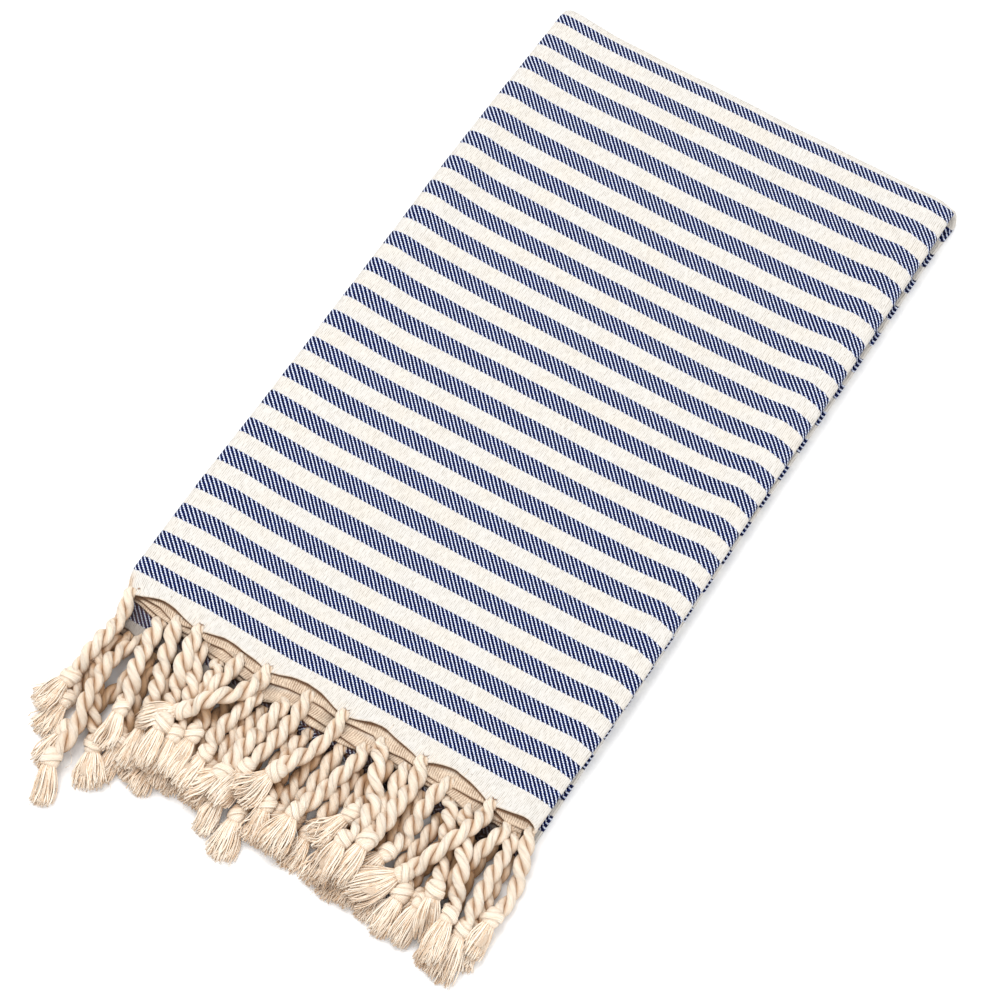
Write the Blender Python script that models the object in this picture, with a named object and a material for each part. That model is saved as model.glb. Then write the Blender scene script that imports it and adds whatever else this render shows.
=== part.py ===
"""A flatwoven cotton hammam towel, folded in eight plies, with knotted cords at both of its ends.

The towel is folded in half across its width, and in half again, which makes a section of four
plies: ply 4, a round fold at the left, ply 1 on top, a round fold at the right, ply 2, an inner fold
at the left, and ply 3. That section runs from the near hem to the far edge, turns under itself and
comes back beneath, so eight plies lie on each other and both fringes are at the near side.

Metres. X runs across the packet, Y along it with the fringes at its low end, Z is up. The shapes are
worked out from the packet's left edge (x = 0) and its upper hem (y = 0). Each object is then placed
so that the origin is the middle of the packet's flat underside.
"""

import math

import bmesh
import bpy

MM = 0.001

# The packet
PACKET_WIDTH = 250 * MM
PACKET_LENGTH = 425 * MM
CLOTH = 1.0 * MM  # thickness of one ply
PLY_GAP = 0.35 * MM  # air between two plies
MIDDLE_GAP = 0.4 * MM  # air between the upper and the lower half
FAR_TURN = PACKET_LENGTH - 2 * MM  # y where the plies start to turn under

PLIES = (4, 1, 2, 3)  # in the order in which the cloth runs through its section
PLY_LEVEL = {
    ply: MIDDLE_GAP / 2 + CLOTH / 2 + (4 - ply) * (CLOTH + PLY_GAP) for ply in PLIES
}
HALF_THICKNESS = PLY_LEVEL[1] + CLOTH / 2  # of four plies, from the middle plane
PLY_START = 8 * MM  # x where the flat stretch of each ply starts, past the left folds
PLY_END = {1: 245 * MM, 2: 245 * MM, 3: 243 * MM, 4: 239 * MM}  # 3 and 4 end in a selvedge

# The round folds: the plies that each joins, the x of its outermost mid-cloth point, the side
# that it bulges to, the most that it takes across the packet, and its number of steps
FOLD_COLUMNS = ("name", "plies", "edge", "side", "reach", "steps")
FOLDS = (
    ("outer left", (4, 1), 0.5 * MM, -1, 4.5 * MM, 8),
    ("right", (1, 2), 249.5 * MM, 1, 2.2 * MM, 6),
    ("inner left", (2, 3), 3.2 * MM, -1, 2.5 * MM, 5),
)

# The folded edges puff up. Each ply takes its share, so the plies fan out inside the puff.
PUFF_SHARE = {1: 1.0, 2: 0.7, 3: 0.3, 4: 0.0}
LEFT_PUFF = {"least": 1.5 * MM, "more": 7.0 * MM, "peak_y": 295 * MM, "spread_y": 100 * MM}
LEFT_PUFF_PEAK = 6 * MM
LEFT_PUFF_FALL = 15 * MM
RIGHT_PUFF = 2.6 * MM
RIGHT_PUFF_PEAK = 238 * MM
RIGHT_PUFF_FALL = 11 * MM
PUFF_STATIONS = (14 * MM, 20 * MM, 30 * MM, 231 * MM, 240 * MM)  # extra points of the top ply
UNEVEN = 0.5 * MM  # slow rise and fall of the upper half
UNEVEN_ACROSS = 170 * MM
UNEVEN_ALONG = 230 * MM

# The lower half is a little wider than the upper one and sticks out at the far right corner
LOWER_LEFT_OUT = 1.5 * MM
LOWER_RIGHT_OUT = 2.2 * MM
FAR_CORNER_OUT = 4.5 * MM
FAR_CORNER_LENGTH = 45 * MM

# Steps of the sweep along the cloth
UPPER_STEPS = 10
TURN_STEPS = 6
LOWER_STEPS = 5

# Hems: how far each ply's hem lies beyond the hem line, and how much it arches between two cords
UPPER_HEM = {1: 0 * MM, 2: 4 * MM, 3: 8 * MM, 4: 11 * MM}
LOWER_HEM = {4: 20 * MM, 3: 23 * MM, 2: 26 * MM, 1: 29 * MM}
HEM_ARCH = {1: 3.5 * MM, 2: 3.0 * MM, 3: 2.0 * MM, 4: 2.0 * MM}
ARCH_RUN = 20 * MM

# The fringe: four-sided cords that end in a knot and a tassel, rooted in a strip of the cloth
PARTING = 0.3 * MM  # between the cloth's edge and the strip
STRIP_LENGTH = 2.5 * MM
ROOT_WIDTH = 4.4 * MM
ROOT_THICKNESS = 0.7 * MM
CORD_WIDTH = 6.2 * MM
CORD_THICKNESS = 5.0 * MM
KNOT_WIDTH = 8.0 * MM
KNOT_LENGTH = 9.0 * MM
TASSEL_WIDTH = {"floor": 8.4 * MM, "laid": 8.4 * MM, "crossing": 13 * MM}
TASSEL_END_THICKNESS = 2.6 * MM
CORD_STEPS = 4  # from where a cord has settled to its knot
LEVEL_PITCH = CORD_THICKNESS + 0.4 * MM
LEVELS = {"floor": 0.0, "laid": LEVEL_PITCH, "crossing": 2 * LEVEL_PITCH}
UPPER_GROWTH = 6 * MM  # length over which an upper cord grows from its flat root
UPPER_SETTLE = 8 * MM  # and over which it then comes to its level
LOWER_SETTLE = 8 * MM
CLEARANCE = 0.5 * MM

# One row for each cord of the upper end, in millimetres and degrees. Root and knot are places
# across the packet, reach is the knot's distance from the hem line, bow is the cord's sideways
# sweep, and lean is the tassel's direction, 0 straight out and positive to the right.
CORD_COLUMNS = ("ply", "root", "knot", "reach", "bow", "level", "tassel", "lean")
UPPER_CORDS = (
    (1, 6, 5, 52, 2, "laid", 22, -18),
    (3, 14, 18, 64, 1, "laid", 20, 2),
    (4, 23, 31, 56, -1, "laid", 21, 8),
    (2, 32, 45, 50, -1, "laid", 22, 3),
    (1, 43, 56, 60, 0, "laid", 20, 4),
    (3, 53, 66, 49, -1, "laid", 20, 0),
    (4, 62, 75, 60, 2, "laid", 21, 0),
    (2, 72, 85, 48, -2.4, "laid", 22, -2),
    (1, 86, 66, 41, 5, "crossing", 25, -45),
    (3, 95, 94, 60, 1, "laid", 20, -2),
    (4, 104, 103, 48, 0, "laid", 19, 0),
    (2, 113, 112, 60, 1, "laid", 21, -2),
    (3, 124, 122, 50, -1, "laid", 20, -4),
    (1, 134, 121, 40, 4, "crossing", 24, -24),
    (4, 147, 142, 56, 2, "laid", 23, 0),
    (2, 157, 174, 56, 0.4, "crossing", 22, -8),
    (3, 169, 165, 47, 2, "laid", 20, -14),
    (1, 180, 183, 54, 2, "laid", 20, -8),
    (4, 190, 193, 47, -1, "laid", 21, 4),
    (2, 201, 224, 54, -5, "laid", 22, 12),
    (3, 213, 237, 67, -2, "laid", 22, 6),
    (1, 225, 205, 55, 5, "crossing", 24, -36),
    (4, 234, 246, 57, 0.8, "laid", 21, 4),
    (2, 244, 256, 46, 0, "laid", 22, 2),
)

# The same bundles of warp end in the cords of the lower end, which lie side by side on the
# surface. One row for each, from left to right.
LOWER_COLUMNS = ("knot", "reach", "bow", "lean")
LOWER_CORDS = (
    (6, 66, 1, -8),
    (16, 79, -1, -2),
    (24, 97, 0, 14),
    (34, 80, 0, 12),
    (45, 70, 1, 5),
    (55, 63, 0, 3),
    (65.5, 72, 0, 1),
    (75, 62, 1, 0),
    (86, 68, 0, -3),
    (96, 61, 0, -4),
    (107, 70, 0, -4),
    (118, 74, 0, 5),
    (128, 62, 0, 0),
    (139, 68, 0, 0),
    (149, 60, 0, -2),
    (159, 67, 0, -4),
    (169, 60, 0, 3),
    (179, 67, 0, 0),
    (190, 60, 0, -2),
    (201, 67, 0, -4),
    (212, 60, 0, -2),
    (223, 67, 0, 0),
    (235, 61, 0, 2),
    (246, 67, 0, 4),
)
LOWER_TASSEL = 20 * MM

WOVEN_COLOUR = (0.50, 0.50, 0.60, 1)
FRINGE_COLOUR = (0.80, 0.68, 0.54, 1)
WOVEN_ROUGHNESS = 0.85
FRINGE_ROUGHNESS = 0.9


def clear_scene():
    for thing in list(bpy.data.objects):
        bpy.data.objects.remove(thing)


def cotton(name, colour, roughness):
    material = bpy.data.materials.new(name)
    material.use_nodes = True
    shader = material.node_tree.nodes["Principled BSDF"]
    shader.inputs["Base Color"].default_value = colour
    shader.inputs["Roughness"].default_value = roughness
    shader.inputs["Metallic"].default_value = 0
    return material


def place(name, mesh, material):
    """Adds the object with its mesh, and moves the origin to the middle of the underside."""
    mesh.materials.append(material)
    thing = bpy.data.objects.new(name, mesh)
    thing.location = (-PACKET_WIDTH / 2, -PACKET_LENGTH / 2, 0)
    bpy.context.scene.collection.objects.link(thing)
    return thing


def ease(value):
    """From 0 to 1 with a soft start and end."""
    value = min(max(value, 0.0), 1.0)
    return value * value * (3 - 2 * value)


def blend(start, end, share):
    return start + (end - start) * share


def upper_cords():
    """The rows of the upper end as dictionaries, in metres and radians."""
    cords = []
    for row in UPPER_CORDS:
        cord = dict(zip(CORD_COLUMNS, row))
        for column in ("root", "knot", "reach", "bow", "tassel"):
            cord[column] *= MM
        cord["lean"] = math.radians(cord["lean"])
        cords.append(cord)
    return cords


def lower_cords():
    cords = []
    roots = sorted(upper_cords(), key=lambda cord: cord["root"])
    for above, row in zip(roots, LOWER_CORDS):
        cord = dict(zip(LOWER_COLUMNS, row))
        for column in ("knot", "reach", "bow"):
            cord[column] *= MM
        cord["lean"] = math.radians(cord["lean"])
        cord.update(ply=above["ply"], root=above["root"], level="floor", tassel=LOWER_TASSEL)
        cords.append(cord)
    return cords


# The section of four plies


def bump(x, peak, fall):
    return 1 / (1 + ((x - peak) / fall) ** 2)


def puff(x, y):
    """How far the top ply stands above its flat level at a place on the upper half."""
    spread = (y - LEFT_PUFF["peak_y"]) / LEFT_PUFF["spread_y"]
    left = LEFT_PUFF["least"] + LEFT_PUFF["more"] * math.exp(-spread * spread)
    across = math.sin(math.tau * x / UNEVEN_ACROSS)
    along = math.sin(math.tau * (y - x / 2) / UNEVEN_ALONG)
    return (
        left * bump(x, LEFT_PUFF_PEAK, LEFT_PUFF_FALL)
        + RIGHT_PUFF * bump(x, RIGHT_PUFF_PEAK, RIGHT_PUFF_FALL)
        + UNEVEN * (1 + across * along)
    )


def ply_height(ply, x, y, puffed):
    """Height of the middle of a ply above the middle plane. The flat lower half has puffed 0."""
    return PLY_LEVEL[ply] + PUFF_SHARE[ply] * puff(x, y) * puffed


def roots_of(ply):
    return sorted(row[1] * MM for row in UPPER_CORDS if row[0] == ply)


def ply_stations(ply):
    """Where a ply has points: its ends, the roots of its cords, and halfway between those."""
    inner = [x for x in roots_of(ply) if PLY_START < x < PLY_END[ply]]
    main = [PLY_START] + inner + [PLY_END[ply]]
    places = main + [(left + right) / 2 for left, right in zip(main, main[1:])]
    if ply == 1:
        places += PUFF_STATIONS
    places = sorted(set(places))
    return places if ply in (1, 3) else places[::-1]


def fold_after(ply):
    for row in FOLDS:
        fold = dict(zip(FOLD_COLUMNS, row))
        if fold["plies"][0] == ply:
            return fold
    return None


def fold_line(fold, y, puffed):
    """Points (x, height) of a round fold, from its first ply to its second one."""
    edge = fold["edge"]
    start, end = (ply_height(ply, edge, y, puffed) for ply in fold["plies"])
    radius = min(abs(end - start) / 2, fold["reach"])
    points = []
    for step in range(fold["steps"] + 1):
        turn = math.pi * step / fold["steps"]
        x = edge - fold["side"] * radius * (1 - math.sin(turn))
        points.append((x, blend(start, end, (1 - math.cos(turn)) / 2)))
    return points


def section_line(y, puffed):
    """Points (x, height) through the middle of the cloth, from one selvedge to the other."""
    points = []
    for ply in PLIES:
        points += [(x, ply_height(ply, x, y, puffed)) for x in ply_stations(ply)]
        fold = fold_after(ply)
        if fold:
            points += fold_line(fold, y, puffed)
    return points


def hem_reach(ply, x, hem):
    """How far a ply's hem lies beyond the hem line: most at a cord's root, less between two."""
    nearest = min(abs(x - root) for root in roots_of(ply))
    return hem[ply] - HEM_ARCH[ply] * ease(nearest / ARCH_RUN)


def hem_line(hem):
    """The hem's reach at each point of the section line."""
    reaches = []
    for ply in PLIES:
        reaches += [hem_reach(ply, x, hem) for x in ply_stations(ply)]
        fold = fold_after(ply)
        if fold:
            start, end = (hem_reach(joined, fold["edge"], hem) for joined in fold["plies"])
            steps = fold["steps"]
            reaches += [blend(start, end, step / steps) for step in range(steps + 1)]
    return reaches


def unit(x, y):
    length = math.hypot(x, y)
    return x / length, y / length


def both_faces(line):
    """The outline of the cloth: its line moved half a thickness to one side, and back along the
    other."""
    one, other = [], []
    for number, (x, height) in enumerate(line):
        before = line[max(number - 1, 0)]
        after = line[min(number + 1, len(line) - 1)]
        towards = unit(x - before[0], height - before[1]) if number else (0, 0)
        onwards = unit(after[0] - x, after[1] - height) if after != line[number] else (0, 0)
        along = unit(towards[0] + onwards[0], towards[1] + onwards[1])
        offset = (-along[1] * CLOTH / 2, along[0] * CLOTH / 2)
        one.append((x + offset[0], height + offset[1]))
        other.append((x - offset[0], height - offset[1]))
    return one + other[::-1]


# The cloth, as outlines of its section that follow each other


def lower_shift(x, y):
    """How far the lower half lies aside at a place across the packet."""
    across = x / PACKET_WIDTH
    corner = FAR_CORNER_OUT * across * ease(1 - (FAR_TURN - y) / FAR_CORNER_LENGTH)
    return blend(-LOWER_LEFT_OUT, LOWER_RIGHT_OUT, across) + corner


def upper_outline(share, beyond=0.0):
    """The outline on the upper half: share 0 at its hem, moved beyond it, and 1 at the far turn."""
    outline = both_faces(section_line(share * FAR_TURN, 1.0))
    reaches = hem_line(UPPER_HEM)
    points = []
    for (x, height), reach in zip(outline, reaches + reaches[::-1]):
        y = blend(-reach - beyond, FAR_TURN, share)
        points.append((x, y, HALF_THICKNESS + height))
    return points


def turn_outline(share):
    """The outline in the far turn, where the plies go under themselves."""
    angle = math.pi * share
    points = []
    for x, height in both_faces(section_line(FAR_TURN, ease(1 - share))):
        y = FAR_TURN + height * math.sin(angle)
        z = HALF_THICKNESS + height * math.cos(angle)
        points.append((x + ease(share) * lower_shift(x, FAR_TURN), y, z))
    return points


def lower_outline(share, beyond=0.0):
    """The outline on the flat lower half: share 0 at its hem, moved beyond it, and 1 at the turn."""
    reaches = hem_line(LOWER_HEM)
    points = []
    for (x, height), reach in zip(both_faces(section_line(0, 0.0)), reaches + reaches[::-1]):
        y = blend(-reach - beyond, FAR_TURN, share)
        points.append((x + lower_shift(x, y), y, HALF_THICKNESS - height))
    return points


def swept(name, outlines):
    """A closed mesh through outlines with equal numbers of points. Its ends are filled with
    faces that each join the two sides of the cloth."""
    shape = bmesh.new()
    rings = [[shape.verts.new(point) for point in outline] for outline in outlines]
    count = len(outlines[0])
    for ring, following in zip(rings, rings[1:]):
        for number in range(count):
            after = (number + 1) % count
            shape.faces.new((ring[number], ring[after], following[after], following[number]))
    for ring in (rings[0], rings[-1]):
        for number in range(count // 2 - 1):
            opposite = count - 1 - number
            corners = (ring[number], ring[number + 1], ring[opposite - 1], ring[opposite])
            shape.faces.new(corners)
    bmesh.ops.recalc_face_normals(shape, faces=shape.faces)
    mesh = bpy.data.meshes.new(name)
    shape.to_mesh(mesh)
    shape.free()
    mesh.shade_smooth()
    mesh.set_sharp_from_angle(angle=math.radians(50))
    return mesh


def cloth_mesh():
    outlines = [upper_outline(step / UPPER_STEPS) for step in range(UPPER_STEPS)]
    outlines += [turn_outline(step / TURN_STEPS) for step in range(TURN_STEPS)]
    # The steps are short next to the turn, where the corner sticks out
    shares = [1 - (step / LOWER_STEPS) ** 2 for step in range(LOWER_STEPS + 1)]
    outlines += [lower_outline(share) for share in shares]
    return swept("cloth", outlines)


# The fringe


def strip_mesh(outline_of):
    """The narrow strip of cloth that holds a fringe, parted from the hem."""
    edges = (PARTING, PARTING + STRIP_LENGTH)
    return swept("strip", [outline_of(0, beyond) for beyond in edges])


def strip_end(ply, hem):
    return -(hem[ply] + PARTING + STRIP_LENGTH)


def profile_of(cord, lower):
    """Where a cord starts, where it starts and ends to grow from its flat root, and where it
    starts and ends to settle at its level, as values of y."""
    hem = LOWER_HEM if lower else UPPER_HEM
    last_hem = min(strip_end(ply, hem) for ply in PLIES) - CLEARANCE
    root = strip_end(cord["ply"], hem) + STRIP_LENGTH / 2
    if lower:
        return root, last_hem, last_hem - LOWER_SETTLE, last_hem, last_hem - LOWER_SETTLE
    growth = strip_end(cord["ply"], hem)
    if cord["level"] == "crossing":
        return root, growth, growth - UPPER_GROWTH, growth, growth - UPPER_SETTLE
    settle = min(last_hem, growth - UPPER_GROWTH)
    return root, growth, growth - UPPER_GROWTH, settle, settle - UPPER_SETTLE


def share_of(y, start, end):
    return ease((start - y) / (start - end))


def cord_centres(cord, lower):
    """Points (x, y) along a cord, from its root to the neck of its knot."""
    root_y, *turns = profile_of(cord, lower)
    neck = -cord["reach"] + KNOT_LENGTH / 2
    stops = sorted({root_y, *turns}, reverse=True)
    settled = stops[-1]
    stops += [blend(settled, neck, step / CORD_STEPS) for step in range(1, CORD_STEPS + 1)]
    root_x = cord["root"] + (lower_shift(cord["root"], 0) if lower else 0)
    points = []
    for y in stops:
        share = (root_y - y) / (root_y + cord["reach"])
        sideways = cord["bow"] * math.sin(math.pi * share)
        points.append((blend(root_x, cord["knot"], ease(share)) + sideways, y))
    return points


def knot_and_tassel(cord):
    """Points (x, y, width, thickness) from the middle of the knot to the tassel's tip."""
    out = (math.sin(cord["lean"]), -math.cos(cord["lean"]))
    start = (cord["knot"], -cord["reach"])
    fan = TASSEL_WIDTH[cord["level"]]
    rows = (
        (0, KNOT_WIDTH, CORD_THICKNESS),
        (KNOT_LENGTH / 2, CORD_WIDTH, CORD_THICKNESS),
        (KNOT_LENGTH / 2 + cord["tassel"] * 0.6, fan, CORD_THICKNESS),
        (KNOT_LENGTH / 2 + cord["tassel"], fan, TASSEL_END_THICKNESS),
    )
    return [(start[0] + out[0] * far, start[1] + out[1] * far, *size) for far, *size in rows]


def cord_rings(cord, lower):
    """Rings of four corners along a cord, its knot and its tassel. Their undersides are level."""
    _, growth, grown, settle, settled = profile_of(cord, lower)
    ply = cord["ply"]
    if lower:
        slope = 0.0
        ply_z = HALF_THICKNESS - PLY_LEVEL[ply]
    else:
        half = ROOT_WIDTH / 2
        sides = [ply_height(ply, cord["root"] + side, 0, 1.0) for side in (-half, half)]
        slope = sides[1] - sides[0]
        ply_z = HALF_THICKNESS + sum(sides) / 2
    level = LEVELS[cord["level"]]
    rows = []
    for x, y in cord_centres(cord, lower):
        grows = share_of(y, growth, grown)
        settles = share_of(y, settle, settled)
        bottom = blend(ply_z - ROOT_THICKNESS / 2, level, settles)
        width = blend(ROOT_WIDTH, CORD_WIDTH, grows)
        thickness = blend(ROOT_THICKNESS, CORD_THICKNESS, grows)
        rows.append((x, y, width, thickness, bottom, slope * (1 - settles)))
    rows += [(*row, level, 0.0) for row in knot_and_tassel(cord)]
    rings = []
    for number, (x, y, width, thickness, bottom, tilt) in enumerate(rows):
        before = rows[max(number - 1, 0)]
        after = rows[min(number + 1, len(rows) - 1)]
        along = unit(after[0] - before[0], after[1] - before[1])
        side = (-along[1] * width / 2, along[0] * width / 2)
        right = (x + side[0], y + side[1], bottom + tilt / 2)
        left = (x - side[0], y - side[1], bottom - tilt / 2)
        top_right = (right[0], right[1], right[2] + thickness)
        top_left = (left[0], left[1], left[2] + thickness)
        rings.append((right, left, top_left, top_right))
    return rings


def cords_mesh(cords, lower):
    shape = bmesh.new()
    for cord in cords:
        rings = [[shape.verts.new(corner) for corner in ring] for ring in cord_rings(cord, lower)]
        for ring, following in zip(rings, rings[1:]):
            for number in range(4):
                after = (number + 1) % 4
                corners = (ring[number], ring[after], following[after], following[number])
                shape.faces.new(corners)
        shape.faces.new(rings[0])
        shape.faces.new(rings[-1][::-1])
    bmesh.ops.recalc_face_normals(shape, faces=shape.faces)
    mesh = bpy.data.meshes.new("cords")
    shape.to_mesh(mesh)
    shape.free()
    return mesh


def add_fringe(name, cords, outline_of, lower, material):
    """One fringe: the strip of cloth, with its cords joined to it."""
    fringe = place(name, strip_mesh(outline_of), material)
    joined = place(name + " cords", cords_mesh(cords, lower), material)
    joined.hide_render = True
    joined.display_type = "WIRE"
    union = fringe.modifiers.new("cords", "BOOLEAN")
    union.operation = "UNION"
    union.solver = "EXACT"
    union.object = joined


def main():
    clear_scene()
    woven = cotton("woven cotton", WOVEN_COLOUR, WOVEN_ROUGHNESS)
    twisted = cotton("twisted cotton", FRINGE_COLOUR, FRINGE_ROUGHNESS)
    place("towel_cloth", cloth_mesh(), woven)
    add_fringe("fringe_upper_end", upper_cords(), upper_outline, False, twisted)
    add_fringe("fringe_lower_end", lower_cords(), lower_outline, True, twisted)


main()
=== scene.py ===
"""The folded hammam towel with its looks: the striped twill cloth in eight plies, and two fringes of
twisted cords with knots and thread tassels.

Metres. The shapes are worked out as in the source of the solids: x from the packet's left edge,
y from its upper hem with the fringes at negative y, and z up from the surface that it lies on.
"""

import math
import random

import bpy
import numpy as np
from mathutils import Matrix, Vector


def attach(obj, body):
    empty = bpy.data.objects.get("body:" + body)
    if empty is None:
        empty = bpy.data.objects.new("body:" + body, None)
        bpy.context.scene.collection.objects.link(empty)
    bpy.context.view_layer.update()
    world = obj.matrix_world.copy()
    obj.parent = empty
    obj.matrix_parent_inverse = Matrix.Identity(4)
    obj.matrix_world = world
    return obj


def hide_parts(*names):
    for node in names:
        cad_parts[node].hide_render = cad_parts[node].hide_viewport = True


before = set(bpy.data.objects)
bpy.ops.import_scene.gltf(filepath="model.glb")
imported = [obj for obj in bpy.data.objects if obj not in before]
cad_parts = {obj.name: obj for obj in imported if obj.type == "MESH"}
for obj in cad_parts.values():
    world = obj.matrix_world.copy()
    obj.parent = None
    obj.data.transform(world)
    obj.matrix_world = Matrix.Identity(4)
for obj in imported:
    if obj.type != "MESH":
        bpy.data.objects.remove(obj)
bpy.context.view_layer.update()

MM = 0.001
SEED = 11
UPPER, LOWER = 0, 1  # the two halves of the folded packet

# --- Sizes of the folded packet, the same as its solid's ---

PACKET_WIDTH = 250 * MM
PACKET_LENGTH = 425 * MM
CLOTH = 1.0 * MM
PLY_PITCH = 1.35 * MM
MIDDLE_GAP = 0.4 * MM
FAR_TURN = PACKET_LENGTH - 2 * MM
PLIES = (4, 1, 2, 3)  # in the order in which the cloth runs through its section
PLY_LEVEL = {ply: MIDDLE_GAP / 2 + CLOTH / 2 + (4 - ply) * PLY_PITCH for ply in PLIES}
HALF_THICKNESS = PLY_LEVEL[1] + CLOTH / 2
PLY_START = 10 * MM
PLY_END = {1: 244 * MM, 2: 244 * MM, 3: 243 * MM, 4: 239 * MM}
ROW_ORIGIN = Vector((PACKET_WIDTH / 2, PACKET_LENGTH / 2, 0))

# plies joined, x of the outermost point, side that it bulges to, reach across at most, steps
FOLD_COLUMNS = ("plies", "edge", "side", "reach", "steps")
FOLDS = (
    ((4, 1), 0.5 * MM, -1, 8.0 * MM, 20),
    ((1, 2), 249.5 * MM, 1, 4.5 * MM, 16),
    ((2, 3), 5.0 * MM, -1, 2.5 * MM, 8),
)
FOLD_WIDTH = 1.5  # a fold reaches this many times half its height across

# The plies are puffed up along both side folds, at a height that changes along the packet
LEFT_PUFF_SHARE = {1: 1.0, 2: 0.7, 3: 0.3, 4: 0.0}
RIGHT_PUFF_SHARE = {1: 1.0, 2: 0.2, 3: 0.0, 4: 0.0}
LEFT_PUFF = {"least": 1.5 * MM, "more": 7.0 * MM, "peak_y": 295 * MM, "spread_y": 100 * MM}
LEFT_PUFF_PEAK = 9 * MM
LEFT_PUFF_FALL = 16 * MM
RIGHT_PUFF = ((0, 1.6), (60, 2.6), (200, 4.2), (390, 5.0), (423, 2.4))
RIGHT_PUFF_PEAK = 240 * MM
RIGHT_PUFF_FALL = 12 * MM
UNEVEN = 0.5 * MM
UNEVEN_ACROSS = 170 * MM
UNEVEN_ALONG = 230 * MM
# The top ply's small waves: height, length across, length along, in millimetres, and phase
RIPPLES = ((0.14, 61, 97, 0.4), (0.10, 37, 71, -1.3), (0.07, 24, 43, 2.1), (0.05, 15, 29, 0.9))

# How far each half lies out at its left and at its right, at places along the packet, in millimetres
SIDE_OUT = {
    UPPER: (
        (
            (0, 1.2), (4, 3.4), (10, 5.4), (70, 5.6), (110, 4.8), (200, 3.6), (250, 2.5), (360, 1.8),
            (423, 1.0),
        ),
        (
            (0, -0.2), (30, 0.3), (50, 1.6), (80, 2.8), (200, 2.8), (300, 3.6), (400, 4.0), (423, 3.6),
        ),
    ),
    LOWER: (
        (
            (-26, -3.5), (-14, 0.5), (0, 3.0), (40, 5.0), (70, 5.0), (110, 4.3), (200, 3.2), (300, 1.8),
            (423, 1.4),
        ),
        (
            (-20, 1.0), (50, 0.8), (150, 1.9), (200, 2.3), (330, 4.3), (400, 4.8), (423, 6.2),
        ),
    ),
}
OUT_RUN = 60 * MM
# How far the stripes sink towards the hem on the right folds, along the packet, in millimetres
FOLD_SINK = ((0, 1.2), (100, 2.5), (200, 3.5), (300, 6.0), (395, 6.3), (423, 1.5))
TOP_SINK = {"share": 0.22, "from": 236 * MM, "run": 9 * MM}
# How far the far fold is drawn in towards its right corner, across the packet, in millimetres
FAR_IN = ((205, 0.0), (226, 0.7), (240, 2.0), (250, 3.6))

# The top ply's hem, x and y in millimetres, with a cord's root at each of its low places
TOP_HEM = (
    (-6, -1.5), (0, -2.6), (5, -3.2), (11, -0.5), (20, 2.5), (28, 2.2), (38, 0.2), (44, -1.2),
    (50, 0.3), (58, 2.2), (66, 2.4), (78, 0.8), (87, -1.0), (94, 0.5), (102, 3.4), (109, 4.4),
    (118, 3.0), (127, 0.8), (134, -0.8), (140, 0.8), (148, 3.6), (156, 4.6), (166, 2.8), (175, 1.2),
    (181, -0.4), (187, 2.0), (198, 5.2), (208, 3.2), (216, 1.0), (223, -1.6), (230, -0.2), (240, 1.6),
    (247, 1.0), (252, -1.0),
)
DEEP_HEMS = {  # the same for the upper half's deeper hems
    2: (
        (0, -1.5), (12, -0.5), (22, -1.2), (33, -3.2), (40, -1.5), (52, -4), (62, -1.5), (74, -3),
        (84, -6), (92, -5), (101, -2), (110, -0.5), (118, -2), (127, -1), (137, -5), (143, -1.5),
        (152, -1), (162, -4), (170, -2), (180, -5), (190, -4.5), (200, -2.5), (210, -3.5), (222, -1),
        (232, -4.5), (241, -2.5), (250, -4),
    ),
    3: (
        (0, -2.5), (12, -3), (22, -4.5), (31, -5.5), (40, -5), (50, -6.2), (60, -6.5), (72, -9.5),
        (82, -10.5), (91, -15), (99, -13), (108, -8.5), (117, -9), (128, -8), (136, -10), (147, -11.5),
        (157, -8), (167, -6), (175, -7.5), (188, -6), (203, -7.5), (214, -9), (224, -6), (236, -5),
        (250, -6),
    ),
    4: (
        (0, -3.5), (10, -4.8), (22, -6), (31, -8), (42, -7), (52, -7.3), (62, -10), (75, -12),
        (88, -13), (104, -8), (117, -13), (128, -12), (140, -13.5), (152, -10), (165, -8.5),
        (180, -9.5), (195, -7.5), (207, -10), (225, -7), (241, -8.5), (250, -8),
    ),
}
# Reach beyond the hem line at a cord's root, by half and ply, and how much less between two cords
HEM_BASE = {
    UPPER: {1: 0.5 * MM, 2: 2.6 * MM, 3: 8.0 * MM, 4: 10 * MM},
    LOWER: {4: 20 * MM, 3: 22 * MM, 2: 24 * MM, 1: 26.5 * MM},
}
HEM_ARCH = {1: 4.5 * MM, 2: 1.2 * MM, 3: 1.5 * MM, 4: 2.0 * MM}
ARCH_RUN = 19 * MM
LOWER_HEM_SKEW = {"reach": -5 * MM, "from": 60 * MM, "run": 60 * MM}
TONGUE = (0.9 * MM, 2.6 * MM)  # a hem's small tongue at each root: length, half width
WOBBLES = ((0.35 * MM, 5.3 * MM, 1), (0.25 * MM, 2.9 * MM, 2))  # height, run, phase for each ply
WOBBLE_FADE = 5 * MM  # they fade away this near to a root

# The upper hems' form: between the cords they lift, at a root they dip to the cord and swell
HEM_LIFT = (1.4 * MM, 14 * MM)
ROOT_DIP = (0.3 * MM, 3 * MM)
LIFT_FADE = 6 * MM
SWELL = 0.7 * MM
SWELL_ACROSS = 3.3 * MM
SWELL_ALONG = 5.0 * MM
HEM_ROUND = 0.6 * MM  # the edge is rounded off over this distance
HEM_ROLL = 1.2 * MM  # the hem is thickest here, and fuller over as much on both sides
TOP_FULLER = 0.45
DEEP_FULLER = 0.95
LOWER_FULLER = 0.4
LOWEST_CLOTH = 0.02 * MM

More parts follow.
